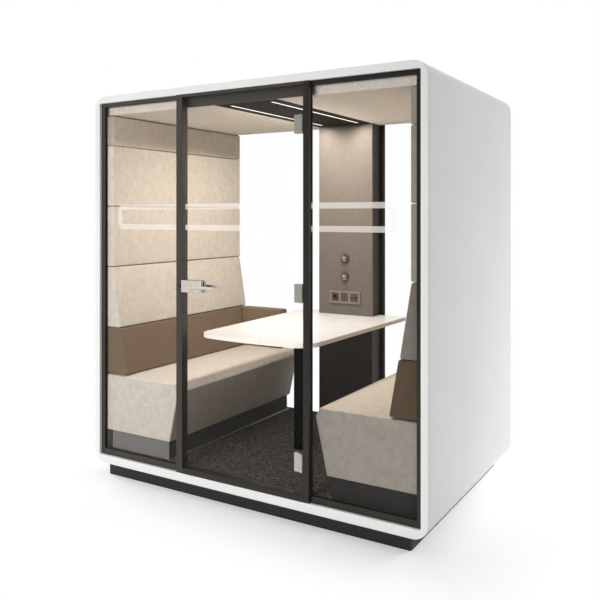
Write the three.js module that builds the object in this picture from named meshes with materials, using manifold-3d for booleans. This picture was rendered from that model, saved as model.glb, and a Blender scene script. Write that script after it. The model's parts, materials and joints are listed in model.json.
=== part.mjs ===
// Acoustic office pod for four people: a rounded white shell on a dark plinth, glazed front and
// back, two upholstered benches facing each other across a table, and a service column behind it.
// Millimetres. X runs across the front, Y from the front rim to the back, Z up from the floor.
// Pieces are drawn with Y = 0 on the front rim; the finished group is centred on the depth.

import * as THREE from 'three';
import { mergeVertices } from 'three/addons/utils/BufferGeometryUtils.js';
import Module from 'manifold-3d';

const wasm = await Module();
wasm.setup();

// Shell and plinth
const WIDTH = 2200;
const DEPTH = 1440;
const HEIGHT = 2340;
const SIDE_WALL = 40;
const ROOF_WALL = 42;
const FLOOR_WALL = 50;
const SHELL_RADIUS = 84;
const SHELL_EDGE = 4;
const OPENING_RADIUS = 8;
const PLINTH_HEIGHT = 70;
const PLINTH_INSET = 97;
const PLINTH_SETBACK = 25;
const FIT = 0.3;

// Glazed frames, recessed behind the rim
const FRAME_RECESS = 18;
const FRAME_DEPTH = 24;
const OUTER_STILE = 26;
const DOOR_STILE = 16;
const COLUMN_STILE = 24;
const SILL_TOP = 155;
const HEAD_BOTTOM = 2275;
const GLASS = 10;
const GLASS_BITE = 8;

// Door set, flush with the rim
const LATCH_JAMB = [-438, -394];
const HINGE_JAMB = [416, 450];
const JAMB_DEPTH = 50;
const JAMB_REBATE = 16;
const HEAD_FACE_BOTTOM = 2280;
const FASCIA_BACK = 58;
const CEILING = 2228;
const DOOR_X = [-391, 410];
const DOOR_Y = [4, 14];
const DOOR_Z = [160, 2276];
const PIVOT = [407, -4];
const HINGE_HEIGHTS = { top: 2076, middle: 1198, bottom: 323 };
const HINGE_HALF = 48.5;
const KNUCKLE_HALF = 15.5;
const KNUCKLE_RADIUS = 7;
const PIN_RADIUS = 3;
const LOCK_HEIGHT = 1198;
const LOCK_END = -243;
const LOCK_HALF = 35.5;
const LOCK_FRONT = -14;
const LOCK_BACK = 32;
const SPINDLE_X = -265;
const LEVER_LENGTH = 145;
const LATCH_THROW = 12;

// Floor, column and ceiling
const FLOOR_TOP = 150;
const CARPET = 9;
const FLOOR_GAP = 2;
const COLUMN_HALF = 208;
const COLUMN_FRONT = 1264;
const COLUMN_BOARD = 16;
const COLUMN_SIDE = 18;
const COLUMN_BACK = 12;
const LIGHT_X = 138;
const LIGHT_Y = [128, 1182];
const LIGHT_WIDTH = 16;
const LIGHT_DEPTH = 8;
const FAN_Z = 2050;
const FAN_BORE = 54;
const KNOB_HEIGHTS = { light: 1303, fan: 1175 };
const SOCKET_Z = 1033;
const SOCKET_PITCH = 74;

// Table
const TABLE_TOP = 912;
const TABLE_THICK = 25;
const TABLE_FRONT = [384, 128];
const TABLE_REAR = [410, 1383];
const TABLE_NOSE = 82;
const TABLE_ROUND = { nose: 2000, front: 110, rear: 20 };
const LEG_FLANGE = { halfX: 110, halfY: 80, thick: 6 };
const TABLE_BRACKET = { leaf: 60, thick: 5, half: 180 };
const LEG_SIZE = 56;
const LEG_Y = 655;

// Upholstery: heights, and depths measured from the side wall into the cabin
const PAD_Y = [44, 1391];
const SEAMS = { ceiling: 2225, top: 2038, upper: 1660, lower: 1282, back: 904 };
const SEAM_GAP = 1.5;
const PAD_DEPTH = [69, 69];
const PAD_EDGE = 11;
const PAD_CROWN = 4;
const PAD_MESH = 140;
const BACK_DEPTH = [66, 128];
const LUMBAR_DEPTH = [134, 184];
const SEAT_TOP = 610;
const SEAT_BOTTOM = 264;
const SEAT_DEPTH = [530, 597];
const SEAT_ROUND = 42;
const BENCH_PLINTH = { x: [548, 1012], y: [64, 1376] };
const END_PAD = { reach: 560, thick: 88, top: 903 };

// Values that follow from those above
const INNER_X = WIDTH / 2 - SIDE_WALL - FIT;
const INNER_Z = [PLINTH_HEIGHT + FLOOR_WALL + FIT, HEIGHT - ROOF_WALL - FIT];
const FRONT_FRAME = [FRAME_RECESS, FRAME_RECESS + FRAME_DEPTH];
const REAR_FRAME = [DEPTH - FRONT_FRAME[1], DEPTH - FRONT_FRAME[0]];
const COLUMN_REAR = REAR_FRAME[1];
const PAD_BASE = SEAT_TOP + PAD_CROWN + 2;

// Finishes
const WHITE_LACQUER = { color: 0xe9e9e7, roughness: 0.45, metalness: 0 };
const BRONZE_FRAME = { color: 0x3d3833, roughness: 0.4, metalness: 0.7 };
const CLEAR_GLASS = { color: 0xdfe8e6, roughness: 0.03, metalness: 0, transparent: true, opacity: 0.18 };
const SATIN_METAL = { color: 0xbdbcb4, roughness: 0.35, metalness: 0.9 };
const DARK_BOARD = { color: 0x37332f, roughness: 0.7, metalness: 0 };
const TAUPE_LACQUER = { color: 0x8d8177, roughness: 0.45, metalness: 0.1 };
const CARPET_PILE = { color: 0x3c3935, roughness: 1, metalness: 0 };
const BEIGE_FABRIC = { color: 0xcdbeac, roughness: 0.95, metalness: 0 };
const BROWN_FABRIC = { color: 0x7d644b, roughness: 0.95, metalness: 0 };
const LIGHT_DIFFUSER = { color: 0xfff6e8, roughness: 0.6, metalness: 0, emissive: 0xfff0dc };
const TABLE_WHITE = { color: 0xf6f2ec, roughness: 0.4, metalness: 0 };
const BLACK_STEEL = { color: 0x161514, roughness: 0.5, metalness: 0.6 };

const pod = new THREE.Group();
pod.position.y = -DEPTH / 2;

function place(name, geometry, look, parent = pod, position = [0, 0, 0]) {
  const mesh = new THREE.Mesh(geometry, new THREE.MeshStandardMaterial(look));
  mesh.name = name;
  mesh.position.set(...position);
  parent.add(mesh);
}

// A closed body for cutting and joining, from the positions of a geometry alone
function solid(geometry) {
  const bare = geometry.clone();
  bare.deleteAttribute('normal');
  bare.deleteAttribute('uv');
  const merged = mergeVertices(bare, 1e-3);
  const vertProperties = new Float32Array(merged.attributes.position.array);
  const triVerts = new Uint32Array(merged.index.array);
  return new wasm.Manifold(new wasm.Mesh({ numProp: 3, vertProperties, triVerts }));
}

function geometryOf(body) {
  const { vertProperties, triVerts } = body.getMesh();
  const geometry = new THREE.BufferGeometry();
  geometry.setAttribute('position', new THREE.BufferAttribute(vertProperties, 3));
  geometry.setIndex(new THREE.BufferAttribute(triVerts, 1));
  geometry.computeVertexNormals();
  return geometry;
}

// Spans along one axis: about a centre, or another span made wider at both ends
const about = (centre, half) => [centre - half, centre + half];
const widen = ([low, high], by) => [low - by, high + by];

const cut = (base, ...tools) =>
  geometryOf(tools.reduce((body, tool) => body.subtract(solid(tool)), solid(base)));
const join = (...pieces) => geometryOf(pieces.map(solid).reduce((all, piece) => all.add(piece)));

function block([x0, x1], [y0, y1], [z0, z1]) {
  const geometry = new THREE.BoxGeometry(x1 - x0, y1 - y0, z1 - z0);
  return geometry.translate((x0 + x1) / 2, (y0 + y1) / 2, (z0 + z1) / 2);
}

const AXES = {
  x: [new THREE.Vector3(0, 1, 0), new THREE.Vector3(0, 0, 1), new THREE.Vector3(1, 0, 0)],
  y: [new THREE.Vector3(1, 0, 0), new THREE.Vector3(0, 0, 1), new THREE.Vector3(0, -1, 0)],
  z: [new THREE.Vector3(1, 0, 0), new THREE.Vector3(0, 1, 0), new THREE.Vector3(0, 0, 1)],
};

// A flat shape carried along one axis. Its own axes are (y, z) for x, (x, z) for y, (x, y) for z.
function carry(shape, axis, [from, to], edge = 0, steps = 3, edgeSteps = 2) {
  const geometry = new THREE.ExtrudeGeometry(shape, {
    depth: to - from - 2 * edge,
    curveSegments: steps,
    bevelEnabled: edge > 0,
    bevelThickness: edge,
    bevelSize: edge,
    bevelOffset: -edge,
    bevelSegments: edgeSteps,
  });
  geometry.translate(0, 0, edge);
  geometry.applyMatrix4(new THREE.Matrix4().makeBasis(...AXES[axis]));
  const start = axis === 'y' ? to : from;
  return geometry.translate(...['x', 'y', 'z'].map((name) => (name === axis ? start : 0)));
}

// A round bar along an axis through a point given in the other two coordinates, in their order
function rod(radius, axis, span, [u, v], sides = 20) {
  const ring = new THREE.Shape();
  ring.absarc(u, v, radius, 0, 2 * Math.PI);
  return carry(ring, axis, span, 0, sides / 2);
}

// A closed outline through corners [u, v, radius], listed counter-clockwise. It starts at a
// rounded corner where there is one, because three.js joins an arc only to a curve before it.
function outline(listed) {
  const first = Math.max(0, listed.findIndex((corner) => corner[2] > 0));
  const corners = [...listed.slice(first), ...listed.slice(0, first)];
  const shape = new THREE.Shape();
  const points = corners.map(([u, v]) => new THREE.Vector2(u, v));
  corners.forEach(([u, v, radius = 0], i) => {
    const here = points[i];
    const before = points.at(i - 1).clone().sub(here).normalize();
    const after = points[(i + 1) % points.length].clone().sub(here).normalize();
    if (radius === 0) {
      if (i === 0) shape.moveTo(u, v);
      else shape.lineTo(u, v);
      return;
    }
    const half = Math.acos(before.dot(after)) / 2;
    const centre = before.clone().add(after).setLength(radius / Math.sin(half)).add(here);
    const from = here.clone().addScaledVector(before, radius / Math.tan(half)).sub(centre);
    const to = here.clone().addScaledVector(after, radius / Math.tan(half)).sub(centre);
    const rightTurn = after.cross(before) < 0;
    if (i === 0) shape.moveTo(from.x + centre.x, from.y + centre.y);
    shape.absarc(centre.x, centre.y, radius, from.angle(), to.angle(), rightTurn);
  });
  return shape;
}

const rectangle = ([u0, u1], [v0, v1], radius = 0) =>
  outline([[u0, v0, radius], [u1, v0, radius], [u1, v1, radius], [u0, v1, radius]]);

// Points of an outline with its long straight runs divided
function divided(shape, longest) {
  const corners = shape.getPoints(2);
  const loop = corners.at(-1).distanceTo(corners[0]) < 1e-3 ? corners.slice(0, -1) : corners;
  return loop.flatMap((point, i) => {
    const next = loop[(i + 1) % loop.length];
    const parts = Math.ceil(point.distanceTo(next) / longest);
    return Array.from({ length: parts }, (_, k) => point.clone().lerp(next, k / parts));
  });
}

// An upholstered pad. Its section, in depth and height, is carried along its length; the ends
// are rounded by PAD_EDGE, and the face swells by crown (depth, height) towards the middle.
// leans gives, by height, how far each end is pushed along the length.
function pad(section, length, crown, leans = [() => 0, () => 0]) {
  const ring = divided(section, PAD_MESH);
  const box = new THREE.Box2().setFromPoints(ring);
  const size = box.getSize(new THREE.Vector2());
  const middle = box.getCenter(new THREE.Vector2());
  const turns = [0, 30, 60, 90].map(THREE.MathUtils.degToRad);
  const nose = turns.map((a) => [PAD_EDGE * (1 - Math.cos(a)), PAD_EDGE * (1 - Math.sin(a))]);
  const firstHalf = [...nose, [length / 4, 0], [length / 2, 0]];
  const mirrored = firstHalf.slice(0, -1).reverse().map(([at, inset]) => [length - at, inset]);
  const stations = [...firstHalf, ...mirrored];
  const points = stations.flatMap(([at, inset]) => {
    const share = at / length;
    const along = 1 - (2 * share - 1) ** 2;
    return ring.flatMap(({ x: depth, y: height }) => {
      const deep = depth / box.max.x;
      const tall = (height - box.min.y) / size.y;
      const faceRise = crown[0] * deep * along * (1 - (2 * tall - 1) ** 2);
      const topRise = crown[1] * tall * along * (1 - (2 * deep - 1) ** 2);
      const drawn = middle.y + (height - middle.y) * (1 - (2 * inset) / size.y) + topRise;
      const lean = leans[0](drawn) * (1 - share) + leans[1](drawn) * share;
      return [depth * (1 - inset / box.max.x) + faceRise, drawn, at + lean];
    });
  });
  const count = ring.length;
  const triangles = [];
  for (let row = 0; row < stations.length - 1; row += 1) {
    for (let i = 0; i < count; i += 1) {
      const a = row * count + i;
      const b = row * count + ((i + 1) % count);
      triangles.push(a, b, b + count, a, b + count, a + count);
    }
  }
  const last = (stations.length - 1) * count;
  for (const [a, b, c] of THREE.ShapeUtils.triangulateShape(ring, [])) {
    triangles.push(c, b, a, last + a, last + b, last + c);
  }
  const geometry = new THREE.BufferGeometry();
  geometry.setAttribute('position', new THREE.Float32BufferAttribute(points, 3));
  geometry.setIndex(triangles);
  geometry.computeVertexNormals();
  return geometry;
}

// Turns a pad so that its depth, height and length run along the given directions
function facing(geometry, depthAxis, heightAxis, origin) {
  const depth = new THREE.Vector3(...depthAxis);
  const height = new THREE.Vector3(...heightAxis);
  const basis = new THREE.Matrix4().makeBasis(depth, height, depth.clone().cross(height));
  return geometry.applyMatrix4(basis).translate(...origin);
}

// side is -1 on the left and 1 on the right; the pad stands against that side wall
function sidePad(section, side, crown) {
  const length = PAD_Y[1] - PAD_Y[0];
  const startY = side < 0 ? PAD_Y[1] : PAD_Y[0];
  return facing(pad(section, length, crown), [-side, 0, 0], [0, 0, 1], [side * INNER_X, startY, 0]);
}

// Shell and floor

function outerShell() {
  const ring = rectangle([-WIDTH / 2, WIDTH / 2], [PLINTH_HEIGHT, HEIGHT], SHELL_RADIUS);
  const [low, high] = [PLINTH_HEIGHT + FLOOR_WALL, HEIGHT - ROOF_WALL];
  const inside = WIDTH / 2 - SIDE_WALL;
  ring.holes.push(rectangle([-inside, inside], [low, high], OPENING_RADIUS));
  return carry(ring, 'y', [0, DEPTH], SHELL_EDGE, 4, 3);
}

function basePlinth() {
  const half = WIDTH / 2 - PLINTH_INSET;
  const footprint = rectangle([-half, half], [PLINTH_SETBACK, DEPTH - PLINTH_SETBACK], 12);
  return carry(footprint, 'z', [0, PLINTH_HEIGHT - FIT]);
}

// The floor boards go round the foot of the column
function floorLayer(span) {
  const half = BENCH_PLINTH.x[1] + FLOOR_GAP;
  const [front, back] = [JAMB_DEPTH + FLOOR_GAP, REAR_FRAME[0] - FLOOR_GAP];
  const notch = COLUMN_HALF + FIT;
  const step = COLUMN_FRONT - FIT;
  const plan = outline([
    [-half, front], [half, front], [half, back], [notch, back],
    [notch, step], [-notch, step], [-notch, back], [-half, back],
  ]);
  return carry(plan, 'z', span);
}

place('outer_shell', outerShell(), WHITE_LACQUER);
place('base_plinth', basePlinth(), DARK_BOARD);
place('floor_deck', floorLayer([INNER_Z[0], FLOOR_TOP - CARPET - FIT]), DARK_BOARD);
place('carpet', floorLayer([FLOOR_TOP - CARPET, FLOOR_TOP]), CARPET_PILE);

// Glazing: each pane sits in a groove all round its frame

function paneHole(side, innerEdge, stile) {
  const edges = [innerEdge + side * stile, side * (INNER_X - OUTER_STILE)];
  return [edges.sort((a, b) => a - b), [SILL_TOP, HEAD_BOTTOM]];
}

function glazedFrame(side, innerEdge, stile, spanY) {
  const round = OPENING_RADIUS + FIT;
  const wallEdge = side * INNER_X;
  const [low, high] = INNER_Z;
  const corners = [[wallEdge, low, round], [innerEdge, low], [innerEdge, high], [wallEdge, high, round]];
  const ring = outline(side < 0 ? corners : corners.reverse());
  const [holeX, holeZ] = paneHole(side, innerEdge, stile);
  ring.holes.push(rectangle(holeX, holeZ));
  const grooveY = about((spanY[0] + spanY[1]) / 2, GLASS / 2 + FIT);
  const groove = block(widen(holeX, GLASS_BITE), grooveY, widen(holeZ, GLASS_BITE));
  return cut(carry(ring, 'y', spanY), groove);
}

function pane(side, innerEdge, stile, spanY) {
  const [holeX, holeZ] = paneHole(side, innerEdge, stile);
  const bite = GLASS_BITE - FIT;
  const thickness = about((spanY[0] + spanY[1]) / 2, GLASS / 2);
  return block(widen(holeX, bite), thickness, widen(holeZ, bite));
}

const DOOR_EDGES = [LATCH_JAMB[0] + JAMB_REBATE - FIT, HINGE_JAMB[1] - JAMB_REBATE + FIT];
for (const [name, side, doorEdge] of [['left', -1, DOOR_EDGES[0]], ['right', 1, DOOR_EDGES[1]]]) {
  const columnEdge = side * (COLUMN_HALF + FIT);
  place(`front_frame_${name}`, glazedFrame(side, doorEdge, DOOR_STILE, FRONT_FRAME), BRONZE_FRAME);
  place(`front_glass_${name}`, pane(side, doorEdge, DOOR_STILE, FRONT_FRAME), CLEAR_GLASS);
  place(`rear_frame_${name}`, glazedFrame(side, columnEdge, COLUMN_STILE, REAR_FRAME), BRONZE_FRAME);
  place(`rear_glass_${name}`, pane(side, columnEdge, COLUMN_STILE, REAR_FRAME), CLEAR_GLASS);
}

// Door frame

const KEEPER = { depth: LATCH_THROW + 6, back: DOOR_Y[1] + 2, half: 13 };
const HEAD_LIP = { depth: 14, drop: 6 };
const NOSING = { run: 4, drop: 8, round: 3 };
const DOORWAY = [LATCH_JAMB[1] + FIT, HINGE_JAMB[0] - FIT];

// A jamb is stepped on its pane's side: the front lip covers the edge of the glazed frame behind it
function jambPost(doorFace, paneFace) {
  const tucked = paneFace - Math.sign(paneFace) * JAMB_REBATE;
  const lip = FRAME_RECESS - FIT;
  const corners = [
    [doorFace, 0], [paneFace, 0], [paneFace, lip], [tucked, lip], [tucked, JAMB_DEPTH], [doorFace, JAMB_DEPTH],
  ];
  return carry(outline(paneFace > 0 ? corners : corners.reverse()), 'z', INNER_Z);
}

// The keeper is a notch in the latch jamb, open towards the front
function latchJamb() {
  const [paneFace, face] = LATCH_JAMB;
  const jamb = jambPost(face, paneFace);
  const keeper = block([face - KEEPER.depth, face + 1], [-1, KEEPER.back], about(LOCK_HEIGHT, KEEPER.half));
  return cut(jamb, keeper);
}

// The head has a slim front lip and a fascia that hangs down to the ceiling line behind the door
function doorHead() {
  const lip = HEAD_LIP.depth;
  const soffit = HEAD_FACE_BOTTOM + HEAD_LIP.drop;
  const top = INNER_Z[1];
  const profile = outline([
    [0, HEAD_FACE_BOTTOM], [lip, HEAD_FACE_BOTTOM], [lip, soffit], [JAMB_DEPTH, soffit],
    [JAMB_DEPTH, CEILING], [FASCIA_BACK, CEILING], [FASCIA_BACK, top], [0, top],
  ]);
  return carry(profile, 'x', DOORWAY);
}

function doorThreshold() {
  const { run, drop, round } = NOSING;
  const profile = outline([
    [0, INNER_Z[0]], [JAMB_DEPTH, INNER_Z[0]], [JAMB_DEPTH, SILL_TOP],
    [run, SILL_TOP, round], [0, SILL_TOP - drop, round],
  ]);
  return carry(profile, 'x', DOORWAY);
}

place('door_jamb_latch', latchJamb(), BRONZE_FRAME);
place('door_jamb_hinge', jambPost(...HINGE_JAMB), BRONZE_FRAME);
place('door_head', doorHead(), BRONZE_FRAME);
place('door_threshold', doorThreshold(), BRONZE_FRAME);

// Door leaf: one sheet of glass held by three clamp hinges and a lock case with levers

const CLAMP = { x: [364, 398.5], front: -2, thick: 6, edge: 405 };
const CLAMP_BOLT = { x: 382, z: 28, radius: 7, play: 0.6 };
const JAMB_PLATE = { thick: 4, y: [2.3, 40], half: HINGE_HALF - 3 };
const KNUCKLE_PLAY = 0.5;
const LOCK_BRIDGE = { end: -318, half: 24, edge: 3 };
const LATCH = { half: 8, edge: 1, tail: -336, bevel: 6, play: 0.3 };
const SPINDLE_RADIUS = 4.5;
const SPINDLE_PLAY = 0.5;
const LOCK_SPAN = about(LOCK_HEIGHT, LOCK_HALF);
const THROUGH_GLASS = widen(DOOR_Y, 1);

function doorGlass() {
  const sheet = block(DOOR_X, DOOR_Y, DOOR_Z);
  const boltRadius = CLAMP_BOLT.radius + CLAMP_BOLT.play;
  const bolts = Object.values(HINGE_HEIGHTS).flatMap((height) =>
    about(height, CLAMP_BOLT.z).map((z) => rod(boltRadius, 'y', THROUGH_GLASS, [CLAMP_BOLT.x, z], 12)));
  const notchX = widen([DOOR_X[0], LOCK_BRIDGE.end], 1);
  const lockNotch = block(notchX, THROUGH_GLASS, about(LOCK_HEIGHT, LOCK_BRIDGE.half + 1));
  const spindleHole = rod(SPINDLE_RADIUS + 3, 'y', THROUGH_GLASS, [SPINDLE_X, LOCK_HEIGHT], 16);
  return cut(sheet, ...bolts, lockNotch, spindleHole);
}

// Drawn about the hinge axis: two clamp plates bolted through the glass, and the outer knuckles
function hingeLeaf() {
  const [px, py] = PIVOT;
  const plateX = CLAMP.x.map((x) => x - px);
  const frontY = [CLAMP.front - py, DOOR_Y[0] - FIT - py];
  const backY = [DOOR_Y[1] + FIT - py, DOOR_Y[1] + FIT + CLAMP.thick - py];
  const boltY = widen([frontY[0], backY[1]], -1);
  const whole = about(0, HINGE_HALF);
  const bolts = about(0, CLAMP_BOLT.z).map((z) =>
    rod(CLAMP_BOLT.radius, 'y', boltY, [CLAMP_BOLT.x - px, z], 12));
  const inner = KNUCKLE_HALF + KNUCKLE_PLAY;
  const knuckles = [[inner, HINGE_HALF], [-HINGE_HALF, -inner]].flatMap((span) => [
    rod(KNUCKLE_RADIUS, 'z', span, [0, 0]),
    block([plateX[1] - 2, -PIN_RADIUS], frontY, span),
  ]);
  const plates = [block(plateX, frontY, whole), block([plateX[0], CLAMP.edge - px], backY, whole)];
  const bore = rod(PIN_RADIUS + FIT, 'z', widen(whole, 1), [0, 0], 12);
  return cut(join(...plates, ...bolts, ...knuckles), bore);
}

// Drawn about the hinge axis: the plate on the jamb, the middle knuckle and the pin
function hingeBracket() {
  const [px, py] = PIVOT;
  const jambFace = DOORWAY[1] - px;
  const middle = about(0, KNUCKLE_HALF);
  const plateX = [jambFace - JAMB_PLATE.thick, jambFace];
  const plate = block(plateX, JAMB_PLATE.y.map((y) => y - py), about(0, JAMB_PLATE.half));
  const web = block([1, jambFace], [1, DOOR_Y[0] - FIT - py], middle);
  const knuckle = rod(KNUCKLE_RADIUS, 'z', middle, [0, 0]);
  const pin = rod(PIN_RADIUS, 'z', about(0, HINGE_HALF), [0, 0], 12);
  return join(plate, web, knuckle, pin);
}

// Two half cases join through the notch in the glass, round the latch and the spindle
function lockCase() {
  const face = rectangle([DOOR_X[0], LOCK_END], LOCK_SPAN, 7);
  const front = carry(face, 'y', [LOCK_FRONT, DOOR_Y[0] - FIT], 2, 2, 1);
  const back = carry(face, 'y', [DOOR_Y[1] + FIT, LOCK_BACK], 2, 2, 1);
  const bridgeX = [DOOR_X[0], LOCK_BRIDGE.end];
  const bridge = block(bridgeX, widen(DOOR_Y, LOCK_BRIDGE.edge), about(LOCK_HEIGHT, LOCK_BRIDGE.half));
  const channelX = [DOOR_X[0] - 1, LATCH.tail + LATCH_THROW + 2];
  const channelY = widen(DOOR_Y, LATCH.play - LATCH.edge);
  const channel = block(channelX, channelY, about(LOCK_HEIGHT, LATCH.half + LATCH.play));
  const boreY = widen([LOCK_FRONT, LOCK_BACK], 1);
  const spindleBore = rod(SPINDLE_RADIUS + SPINDLE_PLAY, 'y', boreY, [SPINDLE_X, LOCK_HEIGHT], 16);
  return cut(join(front, back, bridge), channel, spindleBore);
}

// The latch nose is bevelled on the side that meets the jamb first
function latchBolt() {
  const [near, far] = widen(DOOR_Y, -LATCH.edge);
  const nose = DOOR_X[0] - LATCH_THROW;
  const plan = outline([[nose, near], [LATCH.tail, near], [LATCH.tail, far], [nose + LATCH.bevel, far]]);
  return carry(plan, 'z', about(LOCK_HEIGHT, LATCH.half));
}

const LEVER = { hub: 11, tip: 8, taperFrom: 14, thick: 10, edge: 2.5, neck: 9 };
const LEVER_REACH = { outer: 40, inner: 32 };

// Drawn about the spindle: a lever on each side of the door, both on one spindle
function doorLever() {
  const { hub, tip, taperFrom, thick, edge, neck } = LEVER;
  const grip = outline([
    [-hub, -hub, 9], [taperFrom, -hub], [LEVER_LENGTH, -tip, 6],
    [LEVER_LENGTH, tip, 6], [taperFrom, hub], [-hub, hub, 9],
  ]);
  const outerFace = LOCK_FRONT - LEVER_REACH.outer;
  const innerFace = LOCK_BACK + LEVER_REACH.inner;
  const outer = carry(grip, 'y', [outerFace, outerFace + thick], edge, 2);
  const inner = carry(grip, 'y', [innerFace - thick, innerFace], edge, 2);
  const outerNeck = rod(neck, 'y', [outerFace + thick / 2, LOCK_FRONT - SPINDLE_PLAY], [0, 0]);
  const innerNeck = rod(neck, 'y', [LOCK_BACK + SPINDLE_PLAY, innerFace - thick / 2], [0, 0]);
  const spindle = rod(SPINDLE_RADIUS, 'y', widen([LOCK_FRONT, LOCK_BACK], 5), [0, 0], 16);
  return join(outer, inner, outerNeck, innerNeck, spindle);
}

for (const [name, height] of Object.entries(HINGE_HEIGHTS)) {
  place(`hinge_leaf_${name}`, hingeLeaf(), SATIN_METAL, pod, [...PIVOT, height]);
  place(`hinge_bracket_${name}`, hingeBracket(), SATIN_METAL, pod, [...PIVOT, height]);
}
place('door_glass', doorGlass(), CLEAR_GLASS);
place('lock_case', lockCase(), SATIN_METAL);
place('latch_bolt', latchBolt(), SATIN_METAL);
place('door_lever', doorLever(), SATIN_METAL, pod, [SPINDLE_X, 0, LOCK_HEIGHT]);

// Service column: a U-shaped duct closed by two front boards, with a fan in the duct

const COLUMN_EDGE = COLUMN_HALF - FIT;
const DUCT_FRONT = COLUMN_FRONT + COLUMN_BOARD + FIT;
const DUCT_BACK = COLUMN_REAR - COLUMN_BACK;
const VENTS = { half: 130, height: 9, pitch: 24, perGroup: 5, groups: [260, 2120] };

function columnBody() {
  const inner = COLUMN_EDGE - COLUMN_SIDE;
  const plan = outline([
    [-COLUMN_EDGE, DUCT_FRONT], [-inner, DUCT_FRONT], [-inner, DUCT_BACK], [inner, DUCT_BACK],
    [inner, DUCT_FRONT], [COLUMN_EDGE, DUCT_FRONT], [COLUMN_EDGE, COLUMN_REAR], [-COLUMN_EDGE, COLUMN_REAR],
  ]);
  const { half, height, pitch, perGroup, groups } = VENTS;
  const rows = groups.flatMap((low) => Array.from({ length: perGroup }, (_, row) => low + pitch * row));
  const vents = rows.map((z) => {
    const slot = rectangle([-half, half], [z, z + height], height / 2 - 0.1);
    return carry(slot, 'y', widen([DUCT_BACK, COLUMN_REAR], 1), 0, 1);
  });
  return cut(carry(plan, 'z', INNER_Z), ...vents);
}

const SOCKET_WINDOW = { halfX: 109, halfZ: 35 };
const KNOB_SHAFT = 4;
const BOARD_X = about(0, COLUMN_EDGE);
const BOARD_Y = [COLUMN_FRONT, COLUMN_FRONT + COLUMN_BOARD];

function columnFrontPanel() {
  const through = widen(BOARD_Y, 1);
  const board = block(BOARD_X, BOARD_Y, [TABLE_TOP + FIT, INNER_Z[1]]);
  const holeRadius = KNOB_SHAFT + 0.5;
  const shaftHoles = Object.values(KNOB_HEIGHTS).map((z) => rod(holeRadius, 'y', through, [0, z], 16));
  const window = block(about(0, SOCKET_WINDOW.halfX), through, about(SOCKET_Z, SOCKET_WINDOW.halfZ));
  return cut(board, ...shaftHoles, window);
}

const columnLowerPanel = () => block(BOARD_X, BOARD_Y, [INNER_Z[0], TABLE_TOP - FIT]);

const FAN_CENTRE = [0, (DUCT_FRONT + DUCT_BACK) / 2];
const FAN_HALF_DEPTH = 20;
const MOTOR_RADIUS = 20;
const MOTOR_TOP = 9;
const FAN_BLADES = 7;
const BLADE = { chord: 15, camber: 5, hollow: 1, pitch: 38, lift: 5 };
const FAN_SHAFT = 3;
const FAN_ARM = { half: 4, thick: 6 };

// Drawn about the fan axis: a deck across the duct with a round bore, three arms and the motor
function fanHousing() {
  const halfX = COLUMN_EDGE - COLUMN_SIDE - FIT;
  const halfY = (DUCT_BACK - DUCT_FRONT) / 2 - FIT;
  const floor = -FAN_HALF_DEPTH;
  const deck = block(about(0, halfX), about(0, halfY), about(0, FAN_HALF_DEPTH));
  const bore = rod(FAN_BORE, 'z', about(0, FAN_HALF_DEPTH + 1), [0, 0], 32);
  const arms = [90, 210, 330].map((turn) => {
    const arm = block([0, FAN_BORE + 2], about(0, FAN_ARM.half), [floor, floor + FAN_ARM.thick]);
    return arm.rotateZ(THREE.MathUtils.degToRad(turn));
  });
  const motor = rod(MOTOR_RADIUS, 'z', [floor, -MOTOR_TOP], [0, 0]);
  const shaftHole = rod(FAN_SHAFT + 0.4, 'z', [floor + 3, -MOTOR_TOP + 1], [0, 0], 12);
  return cut(join(cut(deck, bore), ...arms, motor), shaftHole);
}

// Drawn about the fan axis: cambered blades, pitched round the hub
function fanRotor() {
  const hub = rod(MOTOR_RADIUS + 1, 'z', [-MOTOR_TOP + 1, FAN_HALF_DEPTH - 3], [0, 0]);
  const shaft = rod(FAN_SHAFT, 'z', [-FAN_HALF_DEPTH + 4, 0], [0, 0], 12);
  const { chord, camber, hollow, pitch, lift } = BLADE;
  const section = new THREE.Shape();
  section.moveTo(-chord, 0);
  section.quadraticCurveTo(0, -camber, chord, 0);
  section.quadraticCurveTo(0, -hollow, -chord, 0);
  const blades = Array.from({ length: FAN_BLADES }, (_, i) => {
    const blade = carry(section, 'x', [MOTOR_RADIUS - 2, FAN_BORE - 2], 0, 4);
    blade.rotateX(THREE.MathUtils.degToRad(pitch)).translate(0, 0, lift);
    return blade.rotateZ((2 * Math.PI * i) / FAN_BLADES);
  });
  return join(hub, shaft, ...blades);
}

place('column_body', columnBody(), DARK_BOARD);
place('column_front_panel', columnFrontPanel(), TAUPE_LACQUER);
place('column_lower_panel', columnLowerPanel(), DARK_BOARD);
place('fan_housing', fanHousing(), BLACK_STEEL, pod, [...FAN_CENTRE, FAN_Z]);
place('fan_rotor', fanRotor(), BLACK_STEEL, pod, [...FAN_CENTRE, FAN_Z]);

// Controls on the column: two domed knobs and a three-gang socket plate

const KNOB = { collar: 33, collarRise: 4, chamfer: 30, dome: 28, domeFrom: 6, height: 26 };

// Drawn about the knob's axis, pointing out of the panel: a collar ring, a dome and a shaft
function knob() {
  const profile = new THREE.Path();
  profile.moveTo(0, 0);
  profile.lineTo(KNOB.collar, 0);
  profile.lineTo(KNOB.collar, KNOB.collarRise);
  profile.lineTo(KNOB.chamfer, KNOB.domeFrom);
  profile.lineTo(KNOB.dome, KNOB.domeFrom);
  profile.quadraticCurveTo(KNOB.dome - 1, KNOB.height - 3, 0, KNOB.height);
  const dome = new THREE.LatheGeometry(profile.getPoints(5), 20).rotateX(Math.PI);
  const shaft = rod(KNOB_SHAFT, 'y', [-1, COLUMN_BOARD + 6], [0, 0], 16);
  return join(dome, shaft);
}

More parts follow.
